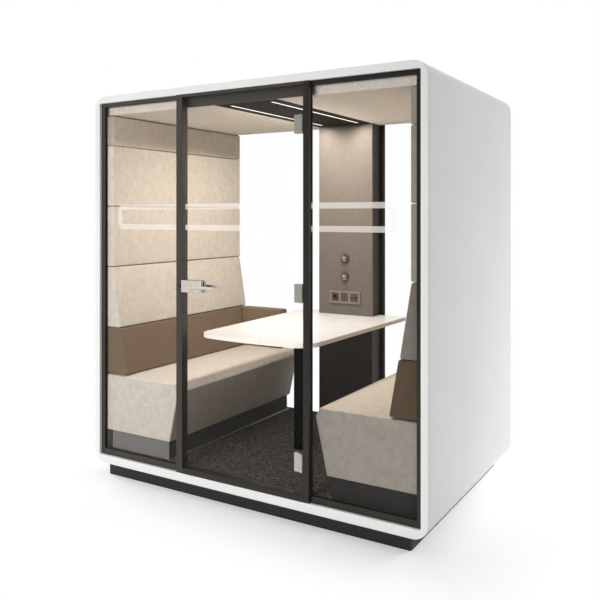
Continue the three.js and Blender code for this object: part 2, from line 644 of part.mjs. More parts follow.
const GANGS = [-SOCKET_PITCH, 0, SOCKET_PITCH];
const GANG_HALF = 29;
const SOCKET_PLATE = { halfX: 120, halfZ: 44, thick: 9 };
const MAINS = { well: 20, wall: 4, floor: 12, back: 18, earth: { half: 3, y: [5, 13], z: [16, 21] } };
const CHARGING = { z: [8, -8], halfX: 7, halfZ: 3.5 };
const DATA = { dx: [-13, 13], halfX: 7, z: [-8, 5] };

function socketFrame() {
  const { halfX, halfZ, thick } = SOCKET_PLATE;
  const face = rectangle(about(0, halfX), about(0, halfZ), 6);
  const gangs = GANGS.map((x) => rectangle(about(x, GANG_HALF), about(0, GANG_HALF), 2));
  face.holes.push(...gangs);
  return carry(face, 'y', [-thick - FIT, -FIT], 1.5, 1, 1);
}

// A carrier strap behind the plate bears the three inserts: mains, charging and data
function socketInserts() {
  const [mainsX, chargingX, dataX] = GANGS;
  const half = GANG_HALF - FIT;
  const front = -SOCKET_PLATE.thick + 1;
  const recess = [front - 1, 0];
  const strap = block(about(0, SOCKET_PITCH + half), [0.5, 3], about(0, half));
  const faces = GANGS.map((x) =>
    carry(rectangle(about(x, half), about(0, half), 2), 'y', [front, 2], 0, 1));
  const mainsBody = rod(MAINS.well + MAINS.wall, 'y', [2, MAINS.back], [mainsX, 0]);
  const mainsWell = rod(MAINS.well, 'y', [front - 1, MAINS.floor], [mainsX, 0]);
  const earthPost = block(about(mainsX, MAINS.earth.half), MAINS.earth.y, MAINS.earth.z);
  const ports = CHARGING.z.map((z) =>
    block(about(chargingX, CHARGING.halfX), recess, about(z, CHARGING.halfZ)));
  const jacks = DATA.dx.map((dx) => block(about(dataX + dx, DATA.halfX), recess, DATA.z));
  const bodies = join(strap, ...faces, mainsBody);
  return join(cut(bodies, mainsWell, ...ports, ...jacks), earthPost);
}

for (const [name, height] of Object.entries(KNOB_HEIGHTS)) {
  place(`${name}_knob`, knob(), TAUPE_LACQUER, pod, [0, COLUMN_FRONT - FIT, height]);
}
place('socket_frame', socketFrame(), TAUPE_LACQUER, pod, [0, COLUMN_FRONT, SOCKET_Z]);
place('socket_inserts', socketInserts(), TAUPE_LACQUER, pod, [0, COLUMN_FRONT, SOCKET_Z]);

// Ceiling: a dark tray with two light lines between upholstered panels

function ceilingTray() {
  const tray = block(BOARD_X, [FASCIA_BACK + FIT, COLUMN_FRONT - FIT], [CEILING, INNER_Z[1]]);
  const depth = [CEILING - 1, CEILING + LIGHT_DEPTH];
  const grooves = about(0, LIGHT_X).map((x) =>
    block(about(x, LIGHT_WIDTH / 2 + FIT), widen(LIGHT_Y, FIT), depth));
  return cut(tray, ...grooves);
}

const CEILING_PAD = { y: [59, 1385], edge: 5, inner: 2, wall: OPENING_RADIUS + 2, crown: 3 };

// Drawn from the roof down, between the tray and the side wall
function ceilingPad(side) {
  const { y: [front, back], edge, inner, wall, crown } = CEILING_PAD;
  const across = [COLUMN_HALF + FIT, INNER_X].map((x) => side * x).sort((a, b) => a - b);
  const [lowRound, highRound] = side < 0 ? [wall, inner] : [inner, wall];
  const thick = INNER_Z[1] - CEILING;
  const section = outline([
    [0, across[0], lowRound], [thick, across[0], edge],
    [thick, across[1], edge], [0, across[1], highRound],
  ]);
  const cushion = pad(section, back - front, [crown, 0]);
  return facing(cushion, [0, 0, -1], [1, 0, 0], [0, back, INNER_Z[1]]);
}

place('ceiling_tray', ceilingTray(), DARK_BOARD);
for (const [name, side] of [['left', -1], ['right', 1]]) {
  const diffuser = rectangle(about(side * LIGHT_X, LIGHT_WIDTH / 2), [0.5, LIGHT_DEPTH - FIT], 2);
  place(`light_line_${name}`, carry(diffuser, 'y', LIGHT_Y), LIGHT_DIFFUSER, pod, [0, 0, CEILING]);
  place(`ceiling_pad_${name}`, ceilingPad(side), BEIGE_FABRIC);
}

// Benches and wall pads, the same on both sides

// A pad between two seams; one that leans is deeper at its foot than at its top
function wallPad(low, high, [topDepth, footDepth], side) {
  const [bottom, top] = [low + SEAM_GAP, high - SEAM_GAP];
  const face = [[footDepth, bottom, PAD_EDGE], [topDepth, top, PAD_EDGE]];
  return sidePad(outline([[0, bottom], ...face, [0, top]]), side, [PAD_CROWN, 0]);
}

// The bench seat has a rounded front edge and a face that slopes back to its foot
function seat(side) {
  const [foot, nose] = SEAT_DEPTH;
  const bottom = SEAT_BOTTOM + FIT;
  const face = [[foot, bottom, PAD_EDGE], [nose, SEAT_TOP, SEAT_ROUND]];
  return sidePad(outline([[0, bottom], ...face, [0, SEAT_TOP]]), side, [0, PAD_CROWN]);
}

// The end pad stands on the seat across the rear glass, mitred to the face of the lumbar pad
function endPad(side) {
  const { reach, thick, top } = END_PAD;
  const [upper, lower] = LUMBAR_DEPTH;
  const face = [[thick, PAD_BASE, PAD_EDGE], [thick, top, PAD_EDGE]];
  const section = outline([[0, PAD_BASE], ...face, [0, top]]);
  const startX = INNER_X - lower - PAD_CROWN;
  const lean = (height) => ((lower - upper) * (height - PAD_BASE)) / (SEAMS.back - PAD_BASE);
  const leans = side < 0 ? [() => 0, lean] : [(height) => -lean(height), () => 0];
  const cushion = pad(section, startX - reach, [PAD_CROWN, 0], leans);
  return facing(cushion, [0, -1, 0], [0, 0, 1], [side < 0 ? -reach : startX, PAD_Y[1], 0]);
}

function benchPlinth(side) {
  const spanX = BENCH_PLINTH.x.map((x) => side * x).sort((a, b) => a - b);
  return block(spanX, BENCH_PLINTH.y, [FLOOR_TOP + FIT, SEAT_BOTTOM]);
}

for (const [name, side] of [['left', -1], ['right', 1]]) {
  place(`wall_pad_top_${name}`, wallPad(SEAMS.top, SEAMS.ceiling, PAD_DEPTH, side), BEIGE_FABRIC);
  place(`wall_pad_upper_${name}`, wallPad(SEAMS.upper, SEAMS.top, PAD_DEPTH, side), BEIGE_FABRIC);
  place(`wall_pad_lower_${name}`, wallPad(SEAMS.lower, SEAMS.upper, PAD_DEPTH, side), BEIGE_FABRIC);
  place(`back_pad_${name}`, wallPad(SEAMS.back, SEAMS.lower, BACK_DEPTH, side), BEIGE_FABRIC);
  place(`lumbar_pad_${name}`, wallPad(PAD_BASE, SEAMS.back, LUMBAR_DEPTH, side), BROWN_FABRIC);
  place(`end_pad_${name}`, endPad(side), BROWN_FABRIC);
  place(`seat_${name}`, seat(side), BEIGE_FABRIC);
  place(`bench_plinth_${name}`, benchPlinth(side), DARK_BOARD);
}

// Table: a slightly tapered top with a bowed front, let in round the column

function tableTop() {
  const [frontX, frontY] = TABLE_FRONT;
  const [rearX, rearY] = TABLE_REAR;
  const notchX = COLUMN_HALF + FIT;
  const notchY = COLUMN_FRONT - FIT;
  const { nose, front, rear } = TABLE_ROUND;
  const plan = outline([
    [0, TABLE_NOSE, nose], [frontX, frontY, front], [rearX, rearY, rear], [notchX, rearY],
    [notchX, notchY], [-notchX, notchY], [-notchX, rearY], [-rearX, rearY, rear], [-frontX, frontY, front],
  ]);
  return carry(plan, 'z', [TABLE_TOP - TABLE_THICK, TABLE_TOP], 2, 4, 1);
}

const UNDERSIDE = TABLE_TOP - TABLE_THICK - FIT;

function tableLeg() {
  const { halfX, halfY, thick } = LEG_FLANGE;
  const across = about(0, LEG_SIZE / 2);
  const post = carry(rectangle(across, across, 5), 'z', [FLOOR_TOP + FIT, UNDERSIDE - thick / 2]);
  const plate = rectangle(about(0, halfX), about(0, halfY), 12);
  const flange = carry(plate, 'z', [UNDERSIDE - thick, UNDERSIDE]);
  return join(post, flange);
}

function tableBracket() {
  const { leaf, thick, half } = TABLE_BRACKET;
  const back = COLUMN_FRONT - FIT;
  const profile = outline([
    [back - thick, UNDERSIDE - leaf], [back, UNDERSIDE - leaf], [back, UNDERSIDE],
    [back - leaf, UNDERSIDE], [back - leaf, UNDERSIDE - thick], [back - thick, UNDERSIDE - thick, 4],
  ]);
  return carry(profile, 'x', about(0, half));
}

place('table_top', tableTop(), TABLE_WHITE);
place('table_leg', tableLeg(), BLACK_STEEL, pod, [0, LEG_Y, 0]);
place('table_bracket', tableBracket(), BLACK_STEEL);

export default pod;
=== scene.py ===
# %% [markdown]
# # An acoustic office pod, dressed in Blender
# The pod is a rounded white shell with glass at the front and back. Inside are two upholstered
# benches, a table and a service column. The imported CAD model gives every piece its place, so
# this lesson only adds what CAD leaves plain: smooth skins, padding, pile, films and finishes.

# %% Load the frame
import json
import math

import bmesh
import bpy
import numpy as np
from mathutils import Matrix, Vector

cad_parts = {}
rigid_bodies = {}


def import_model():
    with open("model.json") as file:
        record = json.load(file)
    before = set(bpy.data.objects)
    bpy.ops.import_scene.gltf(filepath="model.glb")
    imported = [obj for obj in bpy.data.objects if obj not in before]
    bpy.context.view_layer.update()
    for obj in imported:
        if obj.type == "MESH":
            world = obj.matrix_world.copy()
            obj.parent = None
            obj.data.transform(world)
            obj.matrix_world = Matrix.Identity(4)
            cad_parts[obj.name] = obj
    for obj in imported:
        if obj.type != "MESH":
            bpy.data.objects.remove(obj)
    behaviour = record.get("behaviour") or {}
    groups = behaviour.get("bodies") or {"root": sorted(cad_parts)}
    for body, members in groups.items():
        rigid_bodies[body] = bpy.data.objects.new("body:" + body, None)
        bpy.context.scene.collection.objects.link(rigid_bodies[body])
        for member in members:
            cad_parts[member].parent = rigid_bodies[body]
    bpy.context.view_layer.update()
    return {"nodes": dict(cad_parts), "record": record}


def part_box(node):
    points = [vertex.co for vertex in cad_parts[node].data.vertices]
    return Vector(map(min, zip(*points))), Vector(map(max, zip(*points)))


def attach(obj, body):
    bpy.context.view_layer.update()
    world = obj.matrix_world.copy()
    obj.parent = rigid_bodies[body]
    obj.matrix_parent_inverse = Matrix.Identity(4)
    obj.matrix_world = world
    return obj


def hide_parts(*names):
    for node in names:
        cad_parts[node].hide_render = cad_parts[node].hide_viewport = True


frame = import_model()
scene = bpy.context.scene
scene.view_settings.view_transform = "Standard"
MM = 0.001

# %% [markdown]
# ## Helpers for surfaces
# A surface here is an array of points on a grid. The faces follow from the grid's shape alone,
# so whole arrays go into the mesh at once and no vertex is visited in Python.

# %% Grid helpers


def grid_faces(rows, cols, close_rows=False, close_cols=False):
    """Quads of a rows by cols grid: cell (i, j) joins its own corner to the next row and column.
    A closed direction wraps round to its first line."""
    i, j = np.meshgrid(
        np.arange(rows if close_rows else rows - 1),
        np.arange(cols if close_cols else cols - 1),
        indexing="ij",
    )
    below, right = (i + 1) % rows, (j + 1) % cols
    quads = [i * cols + j, i * cols + right, below * cols + right, below * cols + j]
    return np.stack(quads, -1).reshape(-1, 4)


def face_out(mesh):
    """Merges doubles and turns every face of a closed mesh outwards."""
    shape = bmesh.new()
    shape.from_mesh(mesh)
    bmesh.ops.remove_doubles(shape, verts=shape.verts, dist=1e-6)
    bmesh.ops.recalc_face_normals(shape, faces=shape.faces)
    shape.to_mesh(mesh)
    shape.free()


def put(name, points, faces, look, body="pod", smooth=True):
    """A piece of the object from arrays of points and faces, riding on a body."""
    mesh = bpy.data.meshes.new(name)
    mesh.from_pydata(np.asarray(points, float).reshape(-1, 3), [], faces)
    face_out(mesh)
    mesh.polygons.foreach_set("use_smooth", np.full(len(mesh.polygons), smooth))
    mesh.materials.append(look)
    piece = bpy.data.objects.new(name, mesh)
    scene.collection.objects.link(piece)
    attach(piece, body)
    return piece


# %% [markdown]
# ## Camera
# The photograph's verticals are parallel, so the camera stands level and the picture is moved
# by lens shift instead of a tilt. Its place comes from the vanishing points of the shell.

# %% Camera
EYE = (2.327, -3.906, 1.603)
TURN = 31.19
LENS = 43.18
LENS_SHIFT = -0.1411

camera_data = bpy.data.cameras.new("photo_camera")
camera_data.sensor_width = 36
camera_data.lens = LENS
camera_data.shift_y = LENS_SHIFT
camera = bpy.data.objects.new("photo_camera", camera_data)
camera.location = EYE
camera.rotation_euler = (math.radians(90), 0, math.radians(TURN))
scene.collection.objects.link(camera)
scene.camera = camera
print("camera at", EYE)

# %% [markdown]
# ## Finishes
# Each finish is one Principled shader. Its colour varies a little with noise on Object
# coordinates, and the same noise feeds a bump, because a surface of one flat value looks
# like paper under studio light.

# %% Finish helpers


def tone(red, green, blue):
    """Linear colour of an sRGB triple from 0 to 255: (c + 0.055) / 1.055 to the power 2.4."""
    c = np.array([red, green, blue]) / 255
    linear = np.where(c <= 0.04045, c / 12.92, ((c + 0.055) / 1.055) ** 2.4)
    return (*(float(v) for v in linear), 1.0)


class Finish:
    """A material with one Principled shader and short calls to grow its node tree."""

    def __init__(self, name, **settings):
        self.material = bpy.data.materials.new(name)
        self.material.use_nodes = True
        self.tree = self.material.node_tree
        self.shader = self.tree.nodes["Principled BSDF"]
        self.output = self.tree.nodes["Material Output"]
        for socket, value in settings.items():
            self.shader.inputs[socket.replace("_", " ")].default_value = value
        self.coordinates = self.add("ShaderNodeTexCoord").outputs["Object"]

    def add(self, kind, links=None, **values):
        """A node with some input values set and others linked."""
        node = self.tree.nodes.new(kind)
        for name, value in values.items():
            node.inputs[name.replace("_", " ")].default_value = value
        for name, source in (links or {}).items():
            self.tree.links.new(source, node.inputs[name])
        return node

    def stretch(self, scale):
        """Coordinates multiplied axis by axis, for grain that runs one way."""
        node = self.add("ShaderNodeMapping", {"Vector": self.coordinates}, Scale=scale)
        return node.outputs["Vector"]

    def noise(self, scale, detail=3.0, rough=0.55, at=None):
        """Cloudy values about 0.5, with features of about 1 / scale metres."""
        links = {"Vector": at or self.coordinates}
        node = self.add("ShaderNodeTexNoise", links, Scale=scale, Detail=detail, Roughness=rough)
        return node.outputs["Fac"]

    def span(self, value, low, high, to_low=0.0, to_high=1.0):
        """A value moved from one range to another and held inside it."""
        node = self.add("ShaderNodeMapRange", {"Value": value})
        limits = {"From Min": low, "From Max": high, "To Min": to_low, "To Max": to_high}
        for name, limit in limits.items():
            node.inputs[name].default_value = limit
        return node.outputs["Result"]

    def mix(self, share, first, second):
        """Colour between two colours, each a tone or a socket."""
        node = self.tree.nodes.new("ShaderNodeMix")
        node.data_type = "RGBA"
        for socket, value in ((node.inputs[0], share), (node.inputs[6], first), (node.inputs[7], second)):
            if isinstance(value, bpy.types.NodeSocket):
                self.tree.links.new(value, socket)
            else:
                socket.default_value = value
        return node.outputs[2]

    def colour(self, socket):
        self.tree.links.new(socket, self.shader.inputs["Base Color"])
        return self

    def rough(self, socket):
        self.tree.links.new(socket, self.shader.inputs["Roughness"])
        return self

    def bump(self, height, strength, distance):
        node = self.add("ShaderNodeBump", {"Height": height}, Strength=strength, Distance=distance)
        self.tree.links.new(node.outputs["Normal"], self.shader.inputs["Normal"])
        return self


# %% [markdown]
# The hard finishes: lacquer with a faint orange peel, anodised and brushed metal with a grain
# that runs along the bar, laminate boards, powder coat and rubber.

# %% Hard finishes


def lacquer(name, low, high, roughness):
    """Sprayed lacquer: two close tones in broad clouds, and an orange peel of about 3 mm."""
    made = Finish(name, Roughness=roughness)
    made.colour(made.mix(made.span(made.noise(1.7), 0.3, 0.7), low, high))
    made.bump(made.noise(380, 1), 0.05, 0.0004)
    return made.material


def grained_metal(name, low, high, roughness, metallic, along):
    """Metal with fine lines: noise squeezed across the grain and drawn out along it."""
    made = Finish(name, Metallic=metallic)
    lines = made.noise(1, 4, at=made.stretch(along))
    made.colour(made.mix(made.span(lines, 0.3, 0.7), low, high))
    made.rough(made.span(lines, 0.3, 0.7, roughness - 0.06, roughness + 0.06))
    made.bump(lines, 0.06, 0.0003)
    return made.material


def board(name, low, high, roughness, grain=90, mirror=0.5):
    """Matt laminate: a small-scale mottle that also roughens the sheen."""
    made = Finish(name, Specular_IOR_Level=mirror)
    cloud = made.noise(grain, 5, 0.6)
    made.colour(made.mix(made.span(cloud, 0.3, 0.7), low, high))
    made.rough(made.span(cloud, 0.3, 0.7, roughness - 0.07, roughness + 0.07))
    made.bump(made.noise(900, 2), 0.12, 0.0003)
    return made.material


WHITE_LACQUER = lacquer("white_lacquer", tone(233, 233, 232), tone(238, 238, 237), 0.38)
BRONZE = grained_metal("bronze_anodised", tone(54, 50, 45), tone(67, 63, 57), 0.42, 0.25, (500, 500, 9))
SATIN_STEEL = grained_metal("satin_steel", tone(186, 182, 174), tone(206, 202, 194), 0.3, 1.0, (30, 700, 700))
ANTHRACITE = board("anthracite_board", tone(49, 46, 44), tone(57, 54, 51), 0.55, mirror=0.3)
# Painted light: the lower column panel is the dark board lightened, to make up for the shade under the table.
FOOT_BOARD_PAINTED_LIGHT = board("foot_board_painted_light", tone(76, 72, 70), tone(84, 80, 77), 0.55, mirror=0.3)
TRAY_BOARD = board("tray_board", tone(41, 37, 36), tone(49, 44, 43), 0.7, mirror=0.05)
PLINTH_BOARD = board("plinth_board", tone(50, 48, 46), tone(58, 56, 53), 0.6)
SKIRT_BOARD = board("skirt_board", tone(88, 86, 83), tone(96, 94, 91), 0.7, mirror=0.02)
TAUPE = board("taupe_lacquer", tone(111, 105, 100), tone(119, 113, 107), 0.42, 40, 0.3)
TAUPE_PLASTIC = board("taupe_plastic", tone(128, 121, 114), tone(136, 129, 122), 0.36, 200)
SOCKET_PLASTIC = board("socket_plastic", tone(86, 80, 75), tone(94, 88, 83), 0.4, 200, 0.3)
# Knob collar tone: partly the collar's own dark plastic, partly painted shade for the shadow ring round the knob.
COLLAR_DARK_AND_SHADE = board("collar_plastic_and_painted_shade", tone(46, 42, 39), tone(54, 50, 46), 0.5, 200, 0.3)
KNOB_METAL = grained_metal("knob_metal", tone(126, 118, 110), tone(146, 138, 129), 0.26, 0.8, (300, 300, 300))
BLACK_COAT = board("black_powder_coat", tone(17, 16, 15), tone(26, 25, 24), 0.6, 600, 0.06)
FAN_BLACK = board("fan_plastic", tone(20, 20, 20), tone(28, 28, 28), 0.45, 300)
RUBBER = board("gasket_rubber", tone(38, 37, 35), tone(48, 46, 44), 0.75, 300)
TABLE_WHITE = board("table_laminate", tone(234, 233, 231), tone(239, 238, 236), 0.33, 25)
TABLE_EDGE = board("table_edge_band", tone(222, 214, 203), tone(232, 224, 213), 0.45, 120)
print("hard finishes:", len(bpy.data.materials))

# %% [markdown]
# The pads wear a felted wool: fibres of several tones, mixed at three scales. The largest clouds
# give the mottled look that shows on the seat ends, the smallest roughen the nap.

# %% Cloth finishes


def felt(name, shade, middle, light):
    """Melange felt: fibre, fleck and cloud noise mix three tones, and raise a nap."""
    made = Finish(name, Roughness=0.95, Specular_IOR_Level=0.2, Sheen_Weight=0.15, Sheen_Roughness=0.6)
    fleck = made.span(made.noise(150, 5, 0.7), 0.32, 0.68)
    cloud = made.span(made.noise(26, 6, 0.7), 0.3, 0.7)
    base = made.mix(made.span(cloud, 0, 1, 0.2, 0.8), shade, light)
    made.colour(made.mix(made.span(fleck, 0, 1, 0.15, 0.7), base, middle))
    made.bump(made.noise(700, 4, 0.7), 0.35, 0.0012)
    return made.material


def loop_pile(name, dark, light):
    """Carpet: loops of about 7 mm as cells in the bump, and a tone that varies at random in clouds of about 18 mm.
    """
    made = Finish(name, Roughness=1.0, Specular_IOR_Level=0.02, Sheen_Weight=0.05)
    cells = made.add("ShaderNodeTexVoronoi", {"Vector": made.coordinates}, Scale=150)
    own_tone = made.span(made.noise(55, 5, 0.8), 0.38, 0.62)
    made.colour(made.mix(own_tone, dark, light))
    made.bump(cells.outputs["Distance"], 0.6, -0.003)
    return made.material


BEIGE_FELT = felt("beige_felt", tone(172, 163, 151), tone(206, 197, 184), tone(234, 226, 214))
BROWN_FELT = felt("brown_felt", tone(89, 73, 56), tone(114, 94, 73), tone(140, 118, 94))
CARPET = loop_pile("carpet_pile", tone(20, 18, 16), tone(104, 97, 88))

# %% [markdown]
# Glass panes are thin, so they let light straight through and mirror mostly at a glance. The
# mirror share follows Schlick: a base plus the rest times (1 - cosine) to the fifth power, with the
# low base of coated glass. The stripes are a frosted film, half clear. Their brightness is a painted
# glow, an emission that stands in for light the frost would scatter through from the room behind.

# %% Glass, film and light
PANE_MIRROR = 0.004
FILM_COVER = 0.3
# Painted glow of the film: an emission strength, as if the film were a weak lamp.
FILM_PAINTED_GLOW = 0.56
LINE_X = sum(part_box("light_line_right")[k].x for k in (0, 1)) / 2
OPAL_CORE = (4 * MM, 7 * MM)
OPAL_GLOW = (1.35, 0.25)


def clear_pane():
    """Coated clear glass: rays pass, and a mirror grows towards a glance."""
    made = Finish("clear_glass")
    made.tree.nodes.remove(made.shader)
    passed = made.add("ShaderNodeBsdfTransparent", Color=(1, 1, 1, 1))
    mirror = made.add("ShaderNodeBsdfGlossy", Color=(1, 1, 1, 1), Roughness=0.02)
    edge = made.add("ShaderNodeLayerWeight", Blend=0.5).outputs["Facing"]
    power = made.tree.nodes.new("ShaderNodeMath")
    power.operation = "POWER"
    made.tree.links.new(edge, power.inputs[0])
    power.inputs[1].default_value = 5
    share = made.span(power.outputs[0], 0, 1, PANE_MIRROR, 1)
    blend = made.tree.nodes.new("ShaderNodeMixShader")
    for socket, source in zip(blend.inputs, (share, passed.outputs[0], mirror.outputs[0])):
        made.tree.links.new(source, socket)
    made.tree.links.new(blend.outputs[0], made.output.inputs["Surface"])
    return made.material


def frosted_film():
    """Frosted film, seen through two faces: each covers a part and glows with a painted light, an emission that
    stands in for light scattered through the frost.
    """
    made = Finish("frosted_film", Roughness=0.7, Alpha=FILM_COVER)
    # The emission is a painted glow standing in for light scattered through the frost.
    made.shader.inputs["Emission Color"].default_value = tone(255, 250, 243)
    made.shader.inputs["Emission Strength"].default_value = FILM_PAINTED_GLOW
    grain = made.span(made.noise(500, 2), 0.3, 0.7)
    made.colour(made.mix(grain, tone(246, 243, 240), tone(253, 251, 249)))
    return made.material


def opal_light():
    """Opal strip, brightest along its middle: the glow falls with the distance of |x| from LINE_X."""
    made = Finish("opal_light", Base_Color=tone(255, 250, 242), Roughness=0.5)
    made.shader.inputs["Emission Color"].default_value = tone(255, 247, 235)
    away = made.add("ShaderNodeSeparateXYZ", {"Vector": made.coordinates}).outputs["X"]
    for operation, value in (("ABSOLUTE", 0), ("SUBTRACT", LINE_X), ("ABSOLUTE", 0)):
        step = made.add("ShaderNodeMath", {0: away})
        step.operation = operation
        step.inputs[1].default_value = value
        away = step.outputs[0]
    glow = made.span(away, *OPAL_CORE, *OPAL_GLOW)
    made.tree.links.new(glow, made.shader.inputs["Emission Strength"])
    made.bump(made.noise(400, 2), 0.05, 0.0003)
    return made.material


CLEAR_GLASS = clear_pane()
FILM = frosted_film()
OPAL = opal_light()

# %% [markdown]
# ## Dressing the CAD nodes
# Most hard pieces already have the right shape, so they keep their CAD mesh and only take a
# finish, chosen by the record's material slot.

# %% Finish by slot
LOOKS = {
    "shell_white": WHITE_LACQUER, "frame_bronze": BRONZE, "clear_glass": CLEAR_GLASS,
    "satin_metal": SATIN_STEEL, "dark_board": ANTHRACITE, "taupe_lacquer": TAUPE,
    "taupe_plastic": TAUPE_PLASTIC, "carpet_pile": CARPET, "beige_fabric": BEIGE_FELT,
    "brown_fabric": BROWN_FELT, "light_diffuser": OPAL, "table_white": TABLE_WHITE,
    "black_steel": BLACK_COAT, "fan_plastic": FAN_BLACK,
}
SLOT_OF = {row["node"]: row["material_slot"] for row in frame["record"]["subparts"]}
for node, cad in frame["nodes"].items():
    cad.data.materials.clear()
    cad.data.materials.append(LOOKS[SLOT_OF[node]])
frame["nodes"]["base_plinth"].data.materials[0] = PLINTH_BOARD
for side in ("left", "right"):
    frame["nodes"][f"bench_plinth_{side}"].data.materials[0] = SKIRT_BOARD
frame["nodes"]["socket_inserts"].data.materials[0] = SOCKET_PLASTIC
frame["nodes"]["ceiling_tray"].data.materials[0] = TRAY_BOARD
# The lower column panel takes the lightened copy of the dark board, painted light against the shade under the
# table.
frame["nodes"]["column_lower_panel"].data.materials[0] = FOOT_BOARD_PAINTED_LIGHT
print("dressed", len(SLOT_OF), "nodes")

# %% [markdown]
# ## The shell
# The real shell is one bent and lacquered ring whose rims are softly rounded. CAD draws it with
# few facets. Here it is a closed grid: one direction runs round the rounded rectangle, the other
# round the wall's section, so both the big corners and the rims come out smooth.

# %% Shell
ARC_STEPS = 20
SIDE_STEPS = 12
RIM = 4 * MM
RIM_STEPS = 6


def rounded_loop(left, right, low, high, radius):
    """Points round a rectangle whose corners are quarter circles, counter-clockwise from the
    lower right: each corner's arc is its centre plus radius times (cosine, sine), and each side
    is divided evenly between two arcs."""
    turn = np.linspace(0, np.pi / 2, ARC_STEPS + 1)
    centres = [(right - radius, low + radius), (right - radius, high - radius),
               (left + radius, high - radius), (left + radius, low + radius)]
    arcs = [np.stack([x + radius * np.cos(turn + start), z + radius * np.sin(turn + start)], -1)
            for (x, z), start in zip(centres, np.pi / 2 * np.array([-1, 0, 1, 2]))]
    share = np.linspace(0, 1, SIDE_STEPS + 1)[1:-1, None]
    sides = [arcs[k][-1] * (1 - share) + arcs[(k + 1) % 4][0] * share for k in range(4)]
    return np.concatenate([part for k in range(4) for part in (arcs[k], sides[k])])


def shell_section(front, back, wall):
    """(share of the wall, depth) round the wall's section: straight faces with rims of radius
    RIM, as a rounded rectangle of wall by depth."""
    turn = np.linspace(0, np.pi / 2, RIM_STEPS + 1)
    corner = RIM * (1 - np.cos(turn)), RIM * (1 - np.sin(turn))
    skin = np.linspace(front + RIM, back - RIM, 25)
    outer_front = np.stack([corner[1], front + corner[0]], -1)
    outer = np.stack([np.zeros(25), skin], -1)
    half = np.concatenate([outer_front, outer[1:-1], (outer_front * (1, -1) + (0, front + back))[::-1]])
    inner = (half * (-1, 1) + (wall, 0))[::-1]
    return np.concatenate([half, inner])


shell_low, shell_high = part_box("outer_shell")
WALLS = {"side": 40 * MM, "roof": 42 * MM, "floor": 50 * MM}
SHELL_RADIUS = 84 * MM
OPENING_RADIUS = 8 * MM
outside = rounded_loop(shell_low.x, shell_high.x, shell_low.z, shell_high.z, SHELL_RADIUS)
inside = rounded_loop(
    shell_low.x + WALLS["side"], shell_high.x - WALLS["side"],
    shell_low.z + WALLS["floor"], shell_high.z - WALLS["roof"], OPENING_RADIUS)
section = shell_section(shell_low.y, shell_high.y, WALLS["side"])
share = (section[:, 0] / WALLS["side"])[None, :, None]
ring = outside[:, None] * (1 - share) + inside[:, None] * share
depth = np.broadcast_to(section[None, :, 1:], (*ring.shape[:2], 1))
points = np.concatenate([ring[..., :1], depth, ring[..., 1:]], -1)
shell = put("shell_skin", points, grid_faces(*points.shape[:2], True, True), WHITE_LACQUER)
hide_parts("outer_shell")
print("shell:", len(shell.data.polygons), "faces")

# %% [markdown]
# ## Wall and ceiling panels
# Each acoustic panel is foam on a board, wrapped in felt. Its edges are rolled, its face is
# slightly crowned, and the cloth pulls the long edges in between the corners. A rounded box does
# this directly: every point of a box is pulled onto the inner box and pushed out by the radius.

# %% Panels
PANEL_EDGE = 8 * MM
PANEL_CELL = 22 * MM
PANEL_CROWN = 4 * MM
DRAWN_IN = 1.0 * MM


def box_lines(half, radius):
    """Grid lines along one side of a rounded box. Within the radius the lines are spaced by the
    tangent of even angles, so that the roll of the edge is even."""
    turn = radius * np.tan(np.linspace(0, np.pi / 4, 5))
    flat = np.linspace(-(half - radius), half - radius, max(2, int(2 * half / PANEL_CELL)))
    return np.concatenate([-(half - radius) - turn[:0:-1], flat, (half - radius) + turn[1:]])


def rounded_box(size, radius):
    """Points and quads of a box with rolled edges: q is the point held inside the box less the
    radius, and the result is q plus the radius along the direction from q to the point."""
    half = np.asarray(size) / 2
    lines = [box_lines(h, radius) for h in half]
    points, faces, first = [], [], 0
    for axis in range(3):
        u, v = [k for k in range(3) if k != axis]
        for side in (-1, 1):
            flat = np.empty((len(lines[u]), len(lines[v]), 3))
            flat[..., u], flat[..., v] = np.meshgrid(lines[u], lines[v], indexing="ij")
            flat[..., axis] = side * half[axis]
            points.append(flat.reshape(-1, 3))
            faces.append(grid_faces(*flat.shape[:2]) + first)
            first += flat.shape[0] * flat.shape[1]
    points = np.concatenate(points)
    held = np.clip(points, -(half - radius), half - radius)
    away = points - held
    length = np.linalg.norm(away, axis=1, keepdims=True)
    return held + radius * away / length, np.concatenate(faces)


def panel(node, face_axis, toward, look):
    """A crowned panel in the place of a CAD node. Along the face axis it swells by the crown
    times (1 - a^2)(1 - b^2), and its edges draw in by 1 - a^2, where a and b run from -1 to 1."""
    low, high = (np.array(corner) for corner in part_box(node))
    size = high - low
    size[face_axis] -= PANEL_CROWN
    local, faces = rounded_box(size, PANEL_EDGE)
    a_axis, b_axis = [k for k in range(3) if k != face_axis]
    a, b = local[:, a_axis] / (size[a_axis] / 2), local[:, b_axis] / (size[b_axis] / 2)
    front = 0.5 + toward * local[:, face_axis] / size[face_axis]
    local[:, face_axis] += toward * PANEL_CROWN * front * (1 - a**2) * (1 - b**2)
    local[:, a_axis] -= DRAWN_IN * front * np.sign(a) * np.abs(a) ** 6 * (1 - b**2)
    local[:, b_axis] -= DRAWN_IN * front * np.sign(b) * np.abs(b) ** 6 * (1 - a**2)
    centre = (low + high) / 2
    centre[face_axis] -= toward * PANEL_CROWN / 2
    piece = put(node + "_cloth", local + centre, faces, look)
    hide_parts(node)
    return piece


for side, toward in (("left", 1), ("right", -1)):
    for row in ("top", "upper", "lower"):
        panel(f"wall_pad_{row}_{side}", 0, toward, BEIGE_FELT)
    panel(f"ceiling_pad_{side}", 2, -1, BEIGE_FELT)
print("panels: 8")

